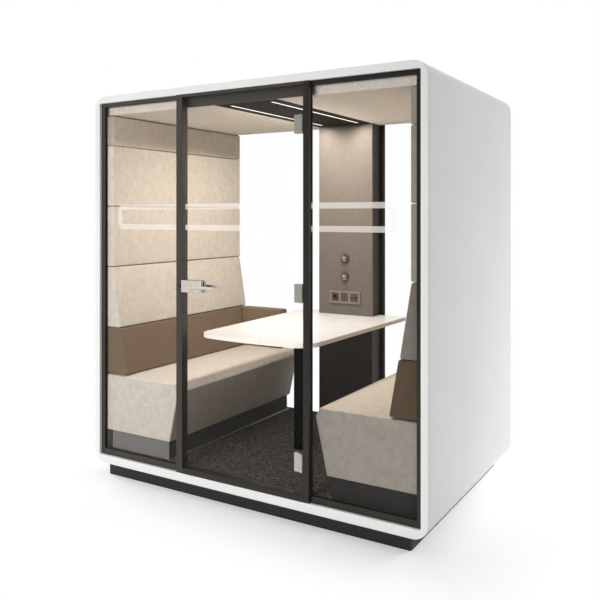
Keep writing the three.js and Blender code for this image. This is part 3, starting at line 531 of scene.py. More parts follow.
# %% [markdown]
# ## Bench cushions
# Seats, back pads and end pads are firm foam under stretched felt, with crisp sewn edges. Each is
# a section, a polygon with filleted corners, carried along the bench. Its ends are closed by
# shrinking the section to its middle, so the whole cover is one grid.

# %% Cushion surface
COVER_CELL = 18 * MM
COVER_EDGE = 9 * MM
FILLET_STEPS = 7
CAP_STEPS = 9


def fillet(corners, radii, steps):
    """A closed outline with each corner replaced by an arc. The arc's centre lies on the corner's
    bisector at radius / sine of half the angle, and its points run between the two tangents."""
    corners = np.asarray(corners, float)
    radii = np.asarray(radii, float)
    before = np.roll(corners, 1, 0) - corners
    after = np.roll(corners, -1, 0) - corners
    before /= np.linalg.norm(before, axis=1, keepdims=True)
    after /= np.linalg.norm(after, axis=1, keepdims=True)
    half = np.arccos(np.clip((before * after).sum(1), -1, 1)) / 2
    bisector = before + after
    bisector /= np.linalg.norm(bisector, axis=1, keepdims=True)
    centre = corners + bisector * (radii / np.sin(half))[:, None]
    start = corners + before * (radii / np.tan(half))[:, None] - centre
    end = corners + after * (radii / np.tan(half))[:, None] - centre
    first = np.arctan2(start[:, 1], start[:, 0])
    sweep = (np.arctan2(end[:, 1], end[:, 0]) - first + np.pi) % (2 * np.pi) - np.pi
    angle = first[:, None] + sweep[:, None] * np.linspace(0, 1, steps)[None]
    arcs = centre[:, None] + radii[:, None, None] * np.stack([np.cos(angle), np.sin(angle)], -1)
    return np.concatenate([arc if r > 0 else corner[None] for arc, r, corner in zip(arcs, radii, corners)])


def divided(outline, cell):
    """The same closed outline with every run longer than a cell cut into equal parts."""
    following = np.roll(outline, -1, 0)
    parts = np.ceil(np.linalg.norm(following - outline, axis=1) / cell).astype(int)
    run = np.repeat(np.arange(len(outline)), parts)
    first = np.repeat(np.cumsum(parts) - parts, parts)
    share = ((np.arange(parts.sum()) - first) / parts[run])[:, None]
    return outline[run] * (1 - share) + following[run] * share


def cover_rows(length):
    """Rows of a cover from the middle of one end to the middle of the other, as place along the
    length, inset and size. Size goes from 0 to 1 across an end, then the inset follows a quarter
    circle of radius COVER_EDGE on to the straight length."""
    grow = np.linspace(0, 1, CAP_STEPS)[:-1]
    turn = np.linspace(0, np.pi / 2, FILLET_STEPS)
    run = np.linspace(COVER_EDGE, length - COVER_EDGE, max(3, int(length / COVER_CELL)))[1:-1]
    end = np.concatenate([
        np.stack([0 * grow, 0 * grow + COVER_EDGE, grow], -1),
        np.stack([COVER_EDGE * (1 - np.cos(turn)), COVER_EDGE * (1 - np.sin(turn)), 0 * turn + 1], -1),
    ])
    far = (end * (-1, 1, 1) + (length, 0, 0))[::-1]
    return np.concatenate([end, np.stack([run, 0 * run, 0 * run + 1], -1), far])


def cover(section, length, lean=0.0):
    """Points (depth, height, along) of a cover: the section, drawn in by each row's inset and
    scaled to its size about the middle. Lean slants the far end by that share of the height."""
    ring = divided(section, COVER_CELL)
    low, high = ring.min(0), ring.max(0)
    middle = (low + high) / 2
    at, inset, size = cover_rows(length).T[:, :, None]
    depth = ring[None, :, 0] * (1 - inset / high[0])
    height = middle[1] + (ring[None, :, 1] - middle[1]) * (1 - 2 * inset / (high - low)[1])
    depth = middle[0] + (depth - middle[0]) * size
    height = middle[1] + (height - middle[1]) * size
    along = at + lean * (height - low[1]) * at / length
    return np.stack([depth, height, along], -1)


# %% [markdown]
# Blender's Cloth blows each cover up from inside, starting a little too small. The side that
# rests on the wall or the bench is held, and no point ends further than a few millimetres from
# the sewn shape, because the foam is firm and the corners stay sharp.

# %% Swelling
DRAW_BACK = 2 * MM
SWELL_FRAMES = 20
HELD = 12 * MM
PRESSURE = 0.12
SWELL = 4.5 * MM
DENT = 1.0 * MM
SLIDE = 1.5 * MM
EVEN_ROUNDS = 10


def read(mesh, items, name):
    """An array of three values for every vertex of a mesh."""
    values = np.empty(len(mesh.vertices) * 3, np.float32)
    items.foreach_get(name, values)
    return values.reshape(-1, 3).astype(float)


def evened(mesh, values):
    """Values at the vertices, each moved half way to the mean of its neighbours, several times."""
    ends = np.empty(len(mesh.edges) * 2, np.int32)
    mesh.edges.foreach_get("vertices", ends)
    here, there = ends.reshape(-1, 2).T
    count = np.bincount(ends, minlength=len(values))[:, None]
    for _ in range(EVEN_ROUNDS):
        total = np.zeros_like(values)
        np.add.at(total, here, values[there])
        np.add.at(total, there, values[here])
        values = (values + total / count) / 2
    return values


def blown_up(piece, resting):
    """Cloth with inner pressure for some frames. A point's way from the sewn shape is evened out
    over its neighbours and split along and across its normal, and each part x is eased towards
    its limit m as m tanh(x / m)."""
    sewn = read(piece.data, piece.data.vertices, "co")
    normal = read(piece.data, piece.data.vertex_normals, "vector")
    smaller = sewn - DRAW_BACK * (1 - resting)[:, None] * normal
    piece.data.vertices.foreach_set("co", smaller.ravel())
    hold = piece.vertex_groups.new(name="rests")
    hold.add(np.flatnonzero(resting).tolist(), 1.0, "REPLACE")
    cloth = piece.modifiers.new("cover", "CLOTH")
    settings = cloth.settings
    settings.quality = 4
    settings.mass = 0.3
    settings.tension_stiffness = settings.compression_stiffness = 30
    settings.shear_stiffness = 15
    settings.bending_stiffness = 6
    settings.use_pressure = True
    settings.uniform_pressure_force = PRESSURE
    settings.vertex_group_mass = "rests"
    settings.effector_weights.gravity = 0
    cloth.collision_settings.use_collision = False
    cloth.point_cache.frame_start, cloth.point_cache.frame_end = 1, SWELL_FRAMES
    for step in range(1, SWELL_FRAMES + 1):
        scene.frame_set(step)
    posed = piece.evaluated_get(bpy.context.evaluated_depsgraph_get())
    move = evened(piece.data, read(posed.data, posed.data.vertices, "co") - sewn)
    piece.modifiers.clear()
    scene.frame_set(1)
    rise = (move * normal).sum(1, keepdims=True)
    slide = move - rise * normal
    reach = np.maximum(np.linalg.norm(slide, axis=1, keepdims=True), 1e-9)
    slide *= SLIDE * np.tanh(reach / SLIDE) / reach
    limit = np.where(rise > 0, SWELL, DENT)
    shaped = sewn + (limit * np.tanh(rise / limit) * normal + slide) * (1 - resting)[:, None]
    piece.data.vertices.foreach_set("co", shaped.ravel())
    piece.data.update()
    return float(rise.max()), float(rise.min())


def cushion(node, points, look, rests):
    """A swollen cover in the place of a CAD solid. rests lists the (axis, side) of the CAD box
    that it lies against."""
    piece = put(node + "_cover", points, grid_faces(*points.shape[:2], close_cols=True), look)
    box = np.array(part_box(node))
    place = read(piece.data, piece.data.vertices, "co")
    near = [np.abs(place[:, axis] - box[side, axis]) < HELD for axis, side in rests]
    resting = np.any(near, axis=0).astype(float)
    most, least = blown_up(piece, resting)
    print(f"{node}: {len(place)} points, swelled {1000 * least:.1f} to {1000 * most:.1f} mm")
    finer = piece.modifiers.new("finer", "SUBSURF")
    finer.levels = finer.render_levels = 1
    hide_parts(node)
    return piece


# %% [markdown]
# The back pad and the brown lumbar pad are deeper at the foot than at the top, so they lean. The
# seat has a chamfer along its front edge that catches the light, and below it the face slopes back
# to the foot. The end pad closes the bench at the rear and is mitred to the lumbar pad.

# %% Cushions
SEAM = 1.5 * MM
BACK = {"z": (904, 1282), "depth": (128, 66)}
LUMBAR = {"z": (616, 904), "depth": (184, 134)}
SEAT = {"z": (264, 562, 610), "depth": (530, 597, 572), "crease": 7, "nose": 12}
END = {"z": (616, 903), "thick": 88, "reach": 560, "clear": 4}


def slab(span, depths, radii):
    """Section of a pad on a wall: foot and top depth, with rounded outer corners."""
    low, high = span
    corners = np.array([(0, low), (depths[0], low), (depths[1], high), (0, high)])
    return fillet(corners * MM, np.array([0, *radii, 0]) * MM, FILLET_STEPS)


def nosed(low, crease, high, foot, nose, brow):
    """Section of a seat: a sloping face from the foot to a crease, a chamfer and the top."""
    corners = np.array([(0, low), (foot, low), (nose, crease), (brow, high), (0, high)])
    radii = np.array([0, COVER_EDGE / MM, SEAT["crease"], SEAT["nose"], 0])
    return fillet(corners * MM, radii * MM, FILLET_STEPS)


for side, sign in (("left", -1), ("right", 1)):
    low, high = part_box(f"seat_{side}")
    wall = low.x if sign < 0 else high.x
    start, length = low.y, high.y - low.y
    edge = COVER_EDGE / MM

    def against_wall(section):
        depth, height, along = np.moveaxis(cover(section, length), -1, 0)
        return np.stack([wall - sign * depth, start + along, height], -1)

    to_wall = (0, 0 if sign < 0 else 1)
    gap = np.array([1, -1]) * SEAM / MM
    section = slab(BACK["z"] + gap, BACK["depth"], (edge, edge))
    cushion(f"back_pad_{side}", against_wall(section), BEIGE_FELT, [to_wall])
    section = slab(LUMBAR["z"] + gap, LUMBAR["depth"], (edge, edge))
    cushion(f"lumbar_pad_{side}", against_wall(section), BROWN_FELT, [to_wall])
    section = nosed(*SEAT["z"], *SEAT["depth"])
    cushion(f"seat_{side}", against_wall(section), BEIGE_FELT, [to_wall, (2, 0)])

    section = slab(END["z"], (END["thick"], END["thick"]), (edge, edge))
    mitre = LUMBAR["depth"][0] - LUMBAR["depth"][1]
    lean = mitre / (LUMBAR["z"][1] - LUMBAR["z"][0])
    reach = abs(wall) - (LUMBAR["depth"][0] + END["reach"] + END["clear"]) * MM
    depth, height, along = np.moveaxis(cover(section, reach, lean), -1, 0)
    points = np.stack([sign * (END["reach"] * MM + along), high.y - depth, height], -1)
    cushion(f"end_pad_{side}", points, BROWN_FELT, [(1, 1)])

# %% [markdown]
# ## Carpet
# A loop pile is never level. The carpet is a height field: a fine grid whose height is a sum of
# sine waves in mixed directions, about a millimetre in all, closed by a skirt down to the deck.

# %% Carpet
PILE_CELL = 9 * MM
PILE_RISE = 0.9 * MM


def pile_height(x, y):
    """Sum of twelve sine waves. Wave k has a wavelength between 16 and 60 mm and turns by the
    golden angle from the last, so the sum never visibly repeats."""
    k = np.arange(12)
    wave = 2 * np.pi / np.linspace(0.016, 0.06, 12)
    turn = k * 2.39996
    phase = wave * (x[..., None] * np.cos(turn) + y[..., None] * np.sin(turn)) + k
    return np.sin(phase).mean(-1) * 2


carpet_low, carpet_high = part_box("carpet")
column_low, column_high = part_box("column_front_panel")
notch_x = np.array([column_low.x, column_high.x]) + np.array([-1, 1]) * MM


def carpet_strip(x_span, y_span):
    """One rectangle of carpet: the top grid is the pile, and its outer row drops to the deck."""
    x = np.linspace(*x_span, int((x_span[1] - x_span[0]) / PILE_CELL))
    y = np.linspace(*y_span, int((y_span[1] - y_span[0]) / PILE_CELL))
    x, y = np.pad(x, 1, mode="edge"), np.pad(y, 1, mode="edge")
    gx, gy = np.meshgrid(x, y, indexing="ij")
    z = carpet_high.z + PILE_RISE * (pile_height(gx, gy) - 1)
    z[[0, -1]] = carpet_low.z
    z[:, [0, -1]] = carpet_low.z
    top = np.stack([gx, gy, z], -1).reshape(-1, 3)
    return top, grid_faces(*gx.shape)


wide = carpet_strip((carpet_low.x, carpet_high.x), (carpet_low.y, column_low.y - MM))
left = carpet_strip((carpet_low.x, notch_x[0]), (column_low.y - MM, carpet_high.y))
right = carpet_strip((notch_x[1], carpet_high.x), (column_low.y - MM, carpet_high.y))
points = np.concatenate([wide[0], left[0], right[0]])
starts = np.cumsum([0, len(wide[0]), len(left[0])])
faces = np.concatenate([part[1] + start for part, start in zip((wide, left, right), starts)])
pile = put("carpet_loops", points, faces, CARPET)
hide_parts("carpet")
print("carpet:", len(faces), "faces")

# %% [markdown]
# A thin metal bead covers the joint between the carpet and each bench.

# %% Beads
BEAD = np.array([5, 0, 6]) * MM
BEAD_GAP = 0.3 * MM

for side, sign in (("left", -1), ("right", 1)):
    low, high = (np.array(corner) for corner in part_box(f"bench_plinth_{side}"))
    size = BEAD + (0, carpet_high.y - low[1] - BEAD[2], 0)
    aisle = high[0] if sign < 0 else low[0]
    points, faces = rounded_box(size, 2 * MM)
    middle = (aisle - sign * (size[0] / 2 + BEAD_GAP), low[1] + size[1] / 2, carpet_high.z + size[2] / 2)
    put(f"bench_bead_{side}", points + middle, faces, SATIN_STEEL)
print("beads: 2 of", round(float(size[1]), 3), "m")

# %% [markdown]
# ## Table top
# The top is a laminated board with a bowed front, drawn once as an outline of lines and arcs. A
# rounded profile is carried round that outline for the edge band, and two flat faces close it.

# %% Table top
TABLE = {"front": (384, 128), "rear": (410, 1383), "nose": 82, "round": (2000, 110, 20)}
DEPTH_OFFSET = -0.72
ARRIS = 2.5 * MM


def inset(outline, by):
    """The outline moved inwards by a distance, along the mean of its two edge normals."""
    along = np.roll(outline, -1, 0) - outline
    along /= np.linalg.norm(along, axis=1, keepdims=True)
    normal = np.stack([-along[:, 1], along[:, 0]], -1)
    mean = normal + np.roll(normal, 1, 0)
    mean /= (mean * normal).sum(1, keepdims=True)
    return outline + by * mean


def table_outline():
    (fx, fy), (rx, ry) = TABLE["front"], TABLE["rear"]
    nose, front, rear = TABLE["round"]
    column = column_high.x * 1000 + 0.6
    step = (column_low.y - DEPTH_OFFSET) * 1000 - 0.3
    corners = [(0, TABLE["nose"]), (fx, fy), (rx, ry), (column, ry), (column, step),
               (-column, step), (-column, ry), (-rx, ry), (-fx, fy)]
    line = fillet(corners, [nose, front, rear, 0, 0, 0, 0, rear, front], 17) * MM
    return line + (0, DEPTH_OFFSET)


table_low, table_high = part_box("table_top")
line = table_outline()
turn = np.linspace(0, np.pi / 2, 5)
ins = np.concatenate([ARRIS * (1 - np.sin(turn)), ARRIS * (1 - np.cos(turn))])
height = np.concatenate([table_low.z + ARRIS * (1 - np.cos(turn)), table_high.z - ARRIS * (1 - np.sin(turn))])
rows = np.stack([np.c_[inset(line, i), np.full(len(line), z)] for i, z in zip(ins, height)])
count = len(line)
faces = grid_faces(len(rows), count, close_cols=True).tolist()
caps = [list(range(count))[::-1], list(range((len(rows) - 1) * count, len(rows) * count))]
table = put("table_board", rows, faces + caps, TABLE_WHITE, smooth=False)
table.data.materials.append(TABLE_EDGE)
is_edge = np.array([abs(face.normal.z) < 0.8 for face in table.data.polygons])
table.data.polygons.foreach_set("material_index", is_edge.astype(np.int32))
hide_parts("table_top")
print("table:", len(table.data.polygons), "faces")

# %% [markdown]
# ## Film stripes and gaskets
# The front glass carries two frosted stripes at eye height, closed at the outer ends, so that
# nobody walks into it. Thin rubber beads seal each fixed pane. Both are a small profile carried
# along a path.

# %% Films and gaskets


def swept(path, half, out):
    """A strip along a path in the XZ plane, from -half to half across it and between two depths.
    Across follows the path's own normal in that plane. Both ends are capped."""
    path = np.asarray(path, float)
    along = np.gradient(path, axis=0)
    along /= np.linalg.norm(along, axis=1, keepdims=True)
    normal = np.stack([-along[:, 1], along[:, 0]], -1) * np.broadcast_to(half, len(path))[:, None]
    flat = path[:, None] + np.array([-1, 1, 1, -1])[None, :, None] * normal[:, None]
    depth = np.broadcast_to(np.repeat(out, 2)[None, :, None], (len(path), 4, 1))
    points = np.concatenate([flat[..., :1], depth, flat[..., 1:]], -1)
    last = (len(path) - 1) * 4
    caps = [[0, 1, 2, 3], [last + 3, last + 2, last + 1, last]]
    return points, grid_faces(len(path), 4, close_cols=True).tolist() + caps


STRIPE_Z = (1.534, 1.653)
STRIPE_HALF = 15.5 * MM
END_HALF = 16 * MM
STRIPE_END = 0.908
STRIPE_ROUND = 20 * MM
FILM_THICK = 0.4 * MM
DOOR_STRIPE_GAP = 20 * MM
GLASS_BITE = 7.7 * MM


def stripe_path(inner, outer):
    """A bracket: along one height, round to the other at the outer end, and back. Its half width
    goes over from the level bars' to the upright end's with the sine of the turn."""
    low, high = STRIPE_Z
    away = np.sign(outer - inner)
    turn = np.linspace(0, np.pi / 2, 9)
    r = STRIPE_ROUND
    lower = np.stack([outer - away * r + away * r * np.sin(turn), low + r - r * np.cos(turn)], -1)
    upper = (lower * (1, -1) + (0, low + high))[::-1]
    bend = STRIPE_HALF + (END_HALF - STRIPE_HALF) * np.sin(turn)
    half = np.concatenate([bend[:1], bend, bend[::-1], bend[:1]])
    return np.concatenate([[(inner, low)], lower, upper, [(inner, high)]]), half


def film(name, path, half, face, body="pod"):
    points, faces = swept(path, half, (face, face - FILM_THICK))
    return put(name, points, faces, FILM, body, smooth=False)


for side, sign in (("left", -1), ("right", 1)):
    low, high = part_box(f"front_glass_{side}")
    inner = (high.x if sign < 0 else low.x) + sign * GLASS_BITE
    film(f"film_{side}", *stripe_path(inner, sign * STRIPE_END), low.y - 0.1 * MM)
door_low, door_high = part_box("door_glass")
door_span = np.array([door_low.x + DOOR_STRIPE_GAP, door_high.x - DOOR_STRIPE_GAP])
for name, z in zip(("film_door_lower", "film_door_upper"), STRIPE_Z):
    film(name, np.c_[door_span, [z, z]], STRIPE_HALF, door_low.y - 0.1 * MM, "door")

GASKET = 1.4 * MM


def gasket(name, glass_node, out):
    """A quarter-round bead in the corner between a pane and its frame, all round the opening."""
    low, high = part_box(glass_node)
    face = low.y if out < 0 else high.y
    loop = np.array([(low.x + GLASS_BITE, low.z + GLASS_BITE), (high.x - GLASS_BITE, low.z + GLASS_BITE),
                     (high.x - GLASS_BITE, high.z - GLASS_BITE), (low.x + GLASS_BITE, high.z - GLASS_BITE)])
    rows = []
    for across, lift in ((0.0, 0.0), (1.0, 0.0), (0.92, 0.4), (0.7, 0.7), (0.4, 0.92), (0.0, 1.0)):
        centre = loop.mean(0)
        corner = loop - np.sign(loop - centre) * (across * GASKET)
        rows.append(np.c_[corner[:, 0], np.full(4, face + out * (lift * GASKET + 0.1 * MM)), corner[:, 1]])
    points = np.stack(rows)
    return put(name, points, grid_faces(*points.shape[:2], True, True), RUBBER, smooth=False)


for place in ("front", "rear"):
    for side in ("left", "right"):
        for word, out in (("outer", -1 if place == "front" else 1), ("inner", 1 if place == "front" else -1)):
            gasket(f"gasket_{place}_{side}_{word}", f"{place}_glass_{side}", out)
print("films and gaskets made")

# %% [markdown]
# ## Lever, knobs and screws
# The lever is a forged bar on a round neck, the same inside and outside the door. Its section is
# a superellipse, flat with soft corners, that thins a little towards the tip. Knobs and screws are
# turned on a lathe, so each is a profile spun round an axis.

# %% Lever
LEVER = {"x": (-276, -120), "spindle": -265, "thick": 10, "half": (11, 8), "neck": 9, "squareness": 4}
ROUND_STEPS = 40


def spun(profile, centre, axis, away):
    """A profile (radius, height) turned about an axis through a centre; height runs away from it
    along that axis, and the two other axes take radius times cosine and sine of the turn."""
    radius, height = np.asarray(profile, float).T
    turn = np.linspace(0, 2 * np.pi, ROUND_STEPS, endpoint=False)
    points = np.empty((len(radius), ROUND_STEPS, 3))
    u, v = [k for k in range(3) if k != axis]
    points[..., u] = centre[u] + radius[:, None] * np.cos(turn)
    points[..., v] = centre[v] + radius[:, None] * np.sin(turn)
    points[..., axis] = centre[axis] + away * height[:, None]
    return points


def grip(y_span):
    """One bar of the lever, with rows along X. A row's half height falls from the spindle to the
    tip, and both ends close as a half ellipse. Its section is |y/a|^n + |z/b|^n = 1."""
    x0, x1 = np.array(LEVER["x"]) * MM
    cap = LEVER["thick"] / 2 * MM
    turn = np.linspace(0, np.pi / 2, 9)
    straight = np.linspace(x0 + cap, x1 - cap, 24)[1:-1]
    x = np.concatenate([x0 + cap * (1 - np.cos(turn)), straight, x1 - cap + cap * np.sin(turn)])
    close = np.concatenate([np.sin(turn), np.ones(len(straight)), np.cos(turn)])
    half = np.interp(x, (x0, x1), np.array(LEVER["half"]) * MM) * close
    thick = (y_span[1] - y_span[0]) / 2 * close
    angle = np.linspace(0, 2 * np.pi, ROUND_STEPS, endpoint=False)
    power = 2 / LEVER["squareness"]
    across = np.sign(np.cos(angle)) * np.abs(np.cos(angle)) ** power
    up = np.sign(np.sin(angle)) * np.abs(np.sin(angle)) ** power
    y = sum(y_span) / 2 + thick[:, None] * across
    z = lever_z + half[:, None] * up
    return np.stack([np.broadcast_to(x[:, None], y.shape), y, z], -1)


lever_low, lever_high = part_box("door_lever")
lever_z = (lever_low.z + lever_high.z) / 2
thick = LEVER["thick"] * MM
outer_span = (lever_low.y, lever_low.y + thick)
inner_span = (lever_high.y - thick, lever_high.y)
neck_run = inner_span[0] - outer_span[1]
neck = [(0, 0), (LEVER["neck"] * MM, 0), (LEVER["neck"] * MM, neck_run + thick), (0, neck_run + thick)]
neck_foot = (LEVER["spindle"] * MM, outer_span[1] - thick / 2, lever_z)
grids = [grip(outer_span), grip(inner_span), spun(neck, neck_foot, 1, 1)]
starts = np.cumsum([0] + [part.shape[0] * part.shape[1] for part in grids])
faces = np.concatenate([grid_faces(*part.shape[:2], close_cols=True) + start for part, start in zip(grids, starts)])
points = np.concatenate([part.reshape(-1, 3) for part in grids])
lever = put("lever_bars", points, faces, SATIN_STEEL, "lever")
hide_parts("door_lever")
print("lever:", len(faces), "faces")

# %% [markdown]
# A knob has a thin collar on the panel, a groove, and a dome that catches the light. The collar is
# dark plastic, and its dark tone is partly painted shade for the shadow ring round the knob. The
# profile runs from the shaft out along the collar and back over the dome, an ellipse of dome radius
# by dome height.

# %% Knobs and screws
KNOB = {"collar": 33, "rise": 4, "chamfer": 30, "groove": 6, "dome": 28, "height": 26}
KNOB_STEPS = 16
SCREW = {"x": 382, "face": -2, "z": 28, "radius": 5.5, "height": 1.6, "socket": 2.6, "deep": 1.0}

turn = np.linspace(0, np.pi / 2, KNOB_STEPS)
dome_rise = KNOB["height"] - KNOB["groove"]
collar = [(0, 0), (KNOB["collar"] - 0.8, 0), (KNOB["collar"], 0.8), (KNOB["collar"], KNOB["rise"]),
          (KNOB["chamfer"], KNOB["groove"]), (KNOB["dome"] - 0.5, KNOB["groove"])]
dome = np.stack([KNOB["dome"] * np.cos(turn) ** 0.8, KNOB["groove"] + 0.5 + (dome_rise - 0.5) * np.sin(turn)], -1)
knob_profile = np.concatenate([collar, dome]) * MM
for name in ("light", "fan"):
    low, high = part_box(f"{name}_knob")
    base = ((low.x + high.x) / 2, low.y + KNOB["height"] * MM, (low.z + high.z) / 2)
    points = spun(knob_profile, base, 1, -1)
    knob = put(f"{name}_knob_dome", points, grid_faces(*points.shape[:2], close_cols=True), KNOB_METAL,
               f"{name}_dial")
    # The collar faces take the dark tone, which is partly painted shade.
    knob.data.materials.append(COLLAR_DARK_AND_SHADE)
    from_panel = np.array([base[1] - face.center.y for face in knob.data.polygons])
    knob.data.polygons.foreach_set("material_index", (from_panel < KNOB["groove"] * MM).astype(np.int32))
    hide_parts(f"{name}_knob")

head = np.array([(0, 0), (SCREW["radius"], 0), (SCREW["radius"], SCREW["height"] - 0.5),
                 (SCREW["radius"] - 0.5, SCREW["height"]), (SCREW["socket"], SCREW["height"]),
                 (SCREW["socket"], SCREW["height"] - SCREW["deep"]), (0, SCREW["height"] - SCREW["deep"])]) * MM
heads = []
for place in ("top", "middle", "bottom"):
    low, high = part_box(f"hinge_leaf_{place}")
    for rise in (-SCREW["z"], SCREW["z"]):
        centre = (SCREW["x"] * MM, DEPTH_OFFSET + SCREW["face"] * MM, (low.z + high.z) / 2 + rise * MM)
        heads.append(spun(head, centre, 1, -1))
points = np.concatenate(heads)
count = len(head) * ROUND_STEPS
face = grid_faces(len(head), ROUND_STEPS, close_cols=True)
faces = np.concatenate([face + k * count for k in range(len(heads))])
put("hinge_screws", points.reshape(-1, 3), faces, SATIN_STEEL, "door", smooth=False)
print("knobs: 2, screws:", len(heads))

# %% [markdown]
# ## Soft arrises
# No machined edge is perfectly sharp. A Weld and a narrow Bevel on the hard CAD pieces give each
# edge a thin line that catches the light.

# %% Arrises
ARRIS_OF = {"frame_bronze": 1.2 * MM, "satin_metal": 0.8 * MM, "dark_board": 1.5 * MM,
            "taupe_lacquer": 1.2 * MM, "taupe_plastic": 0.8 * MM, "black_steel": 1.5 * MM}
SHARP = math.radians(40)
hidden = {"floor_deck", "door_lever", "light_knob", "fan_knob"}
for node, slot in SLOT_OF.items():
    if slot not in ARRIS_OF or node in hidden:
        continue
    cad = frame["nodes"][node]
    weld = cad.modifiers.new("weld", "WELD")
    weld.merge_threshold = 0.05 * MM
    bevel = cad.modifiers.new("arris", "BEVEL")
    bevel.width = ARRIS_OF[slot]
    bevel.segments = 2
    bevel.limit_method = "ANGLE"
    bevel.angle_limit = SHARP
print("edges softened on", sum(bool(cad.modifiers) for cad in frame["nodes"].values()), "nodes")

# %% [markdown]
# ## Stage
# The floor is white to the camera far from the pod. Near it the camera sees a lit matt surface,
# lifted a little, that keeps the pod's shadow. Other rays only meet the plain matt floor, so the
# white ground adds no light to the pod. A black flag stands behind the camera, as in a photo
# studio: mirrors on the right see it, so the frames go dark there.

# %% Stage
FLOOR_HALF = 30.0
FLOOR_TONE = (0.55, 0.55, 0.55, 1)
SHADOW_TONE = (0.86, 0.86, 0.86, 1)
SHADOW_LIFT = 0.35
SHADOW_REACH = (0.03, 0.5)
FOOTPRINT = (1.1, 0.72, 0)
FLAG = [(-3.4, -7.0, 0.02), (6.0, -7.0, 0.02), (6.0, -7.0, 5.0), (-3.4, -7.0, 5.0)]


def seen_ray(tree):
    """1 for a ray from the camera, a mirror or a clear body, and 0 for one that carries light."""
    path = tree.nodes.new("ShaderNodeLightPath")
    seen = path.outputs["Is Camera Ray"]
    for ray in ("Is Glossy Ray", "Is Transmission Ray"):
        either = tree.nodes.new("ShaderNodeMath")
        either.operation = "MAXIMUM"
        tree.links.new(seen, either.inputs[0])
        tree.links.new(path.outputs[ray], either.inputs[1])
        seen = either.outputs[0]
    return seen


def blended(tree, kind, *inputs):
    """A shader that joins others, its inputs linked in order."""
    node = tree.nodes.new(kind)
    for socket, source in zip(node.inputs, inputs):
        tree.links.new(source, socket)
    return node.outputs[0]


def sheet(name, corners, look):
    """A flat four-cornered stage piece."""
    mesh = bpy.data.meshes.new(name)
    mesh.from_pydata(np.array(corners, float), [], [(0, 1, 2, 3)])
    mesh.materials.append(look)
    item = bpy.data.objects.new(name, mesh)
    scene.collection.objects.link(item)
    return item


def studio_floor():
    """Distance to the footprint is the length of max(|p| - half, 0); it fades the lit surface
    into white."""
    made = Finish("studio_floor")
    made.tree.nodes.remove(made.shader)
    away = made.coordinates
    for operation, value in (("ABSOLUTE", None), ("SUBTRACT", FOOTPRINT), ("MAXIMUM", (0, 0, 0))):
        step = made.add("ShaderNodeVectorMath", {0: away})
        step.operation = operation
        if value:
            step.inputs[1].default_value = value
        away = step.outputs["Vector"]
    reach = made.add("ShaderNodeVectorMath", {0: away})
    reach.operation = "LENGTH"
    far = made.span(reach.outputs["Value"], *SHADOW_REACH)
    white = made.add("ShaderNodeEmission", Strength=1.0).outputs[0]
    lift = made.add("ShaderNodeEmission", Strength=SHADOW_LIFT).outputs[0]
    lit = made.add("ShaderNodeBsdfDiffuse", Color=SHADOW_TONE).outputs[0]
    plain = made.add("ShaderNodeBsdfDiffuse", Color=FLOOR_TONE).outputs[0]
    near = blended(made.tree, "ShaderNodeAddShader", lit, lift)
    shown = blended(made.tree, "ShaderNodeMixShader", far, near, white)
    surface = blended(made.tree, "ShaderNodeMixShader", seen_ray(made.tree), plain, shown)
    made.tree.links.new(surface, made.output.inputs["Surface"])
    return made.material


floor = sheet("floor", np.array([(-1, -1, 0), (1, -1, 0), (1, 1, 0), (-1, 1, 0)]) * FLOOR_HALF, studio_floor())
flag = sheet("black_flag", FLAG, BLACK_COAT)
flag.visible_camera = flag.visible_diffuse = flag.visible_shadow = flag.visible_transmission = False

# %% [markdown]
# ## Light
# A studio of soft light, in which every lamp has its own receivers. Light linking stands for the
# flags and grids of a real studio. The key stands at the front and only lights the left side, so
# the right bench stays in shade. Boxes all round only light the white shell. Two only light the
# floor, from the left and from behind, so the shadow gathers at the front right corner.

# The pod's own light lines work too. Narrow lamps hang under each line: one throws light on the
# walls, one washes straight down, and one with a narrow beam skims the top row of pads, which is
# dark under the ceiling. What the table throws back at the ceiling is one more weak lamp.

# %% Lights
AMBIENT = 0.3
LINE_DROP = 4 * MM
LINE_WARMTH = (1, 0.91, 0.82)
LINE_GLOW = (1, 0.97, 0.94)


def lamp(name, place, target, size, power, colour=(1, 1, 1), only=(), never=(), spread=180, shine=False):
    """A soft box at a place, turned to its target. With only, it lights just those objects, and
    with never, all but those. Spread is the full angle of its beam, and shine lets it be mirrored."""
    data = bpy.data.lights.new(name, "AREA")
    data.shape = "RECTANGLE"
    data.size, data.size_y = size
    data.energy = power
    data.color = colour
    data.spread = math.radians(spread)
    item = bpy.data.objects.new(name, data)
    item.location = place
    aim = np.array(target, float) - np.array(place, float)
    flat = math.hypot(aim[0], aim[1])
    item.rotation_euler = (math.atan2(flat, -aim[2]), 0, math.atan2(-aim[0], aim[1]) if flat else 0)
    item.visible_camera = False
    item.visible_glossy = shine
    scene.collection.objects.link(item)
    if only or never:
        group = bpy.data.collections.new(name + "_lights")
        item.light_linking.receiver_collection = group
        for receiver in (*only, *never):
            group.objects.link(receiver)
        for member in group.collection_objects:
            member.light_linking.link_state = "INCLUDE" if only else "EXCLUDE"
    return item


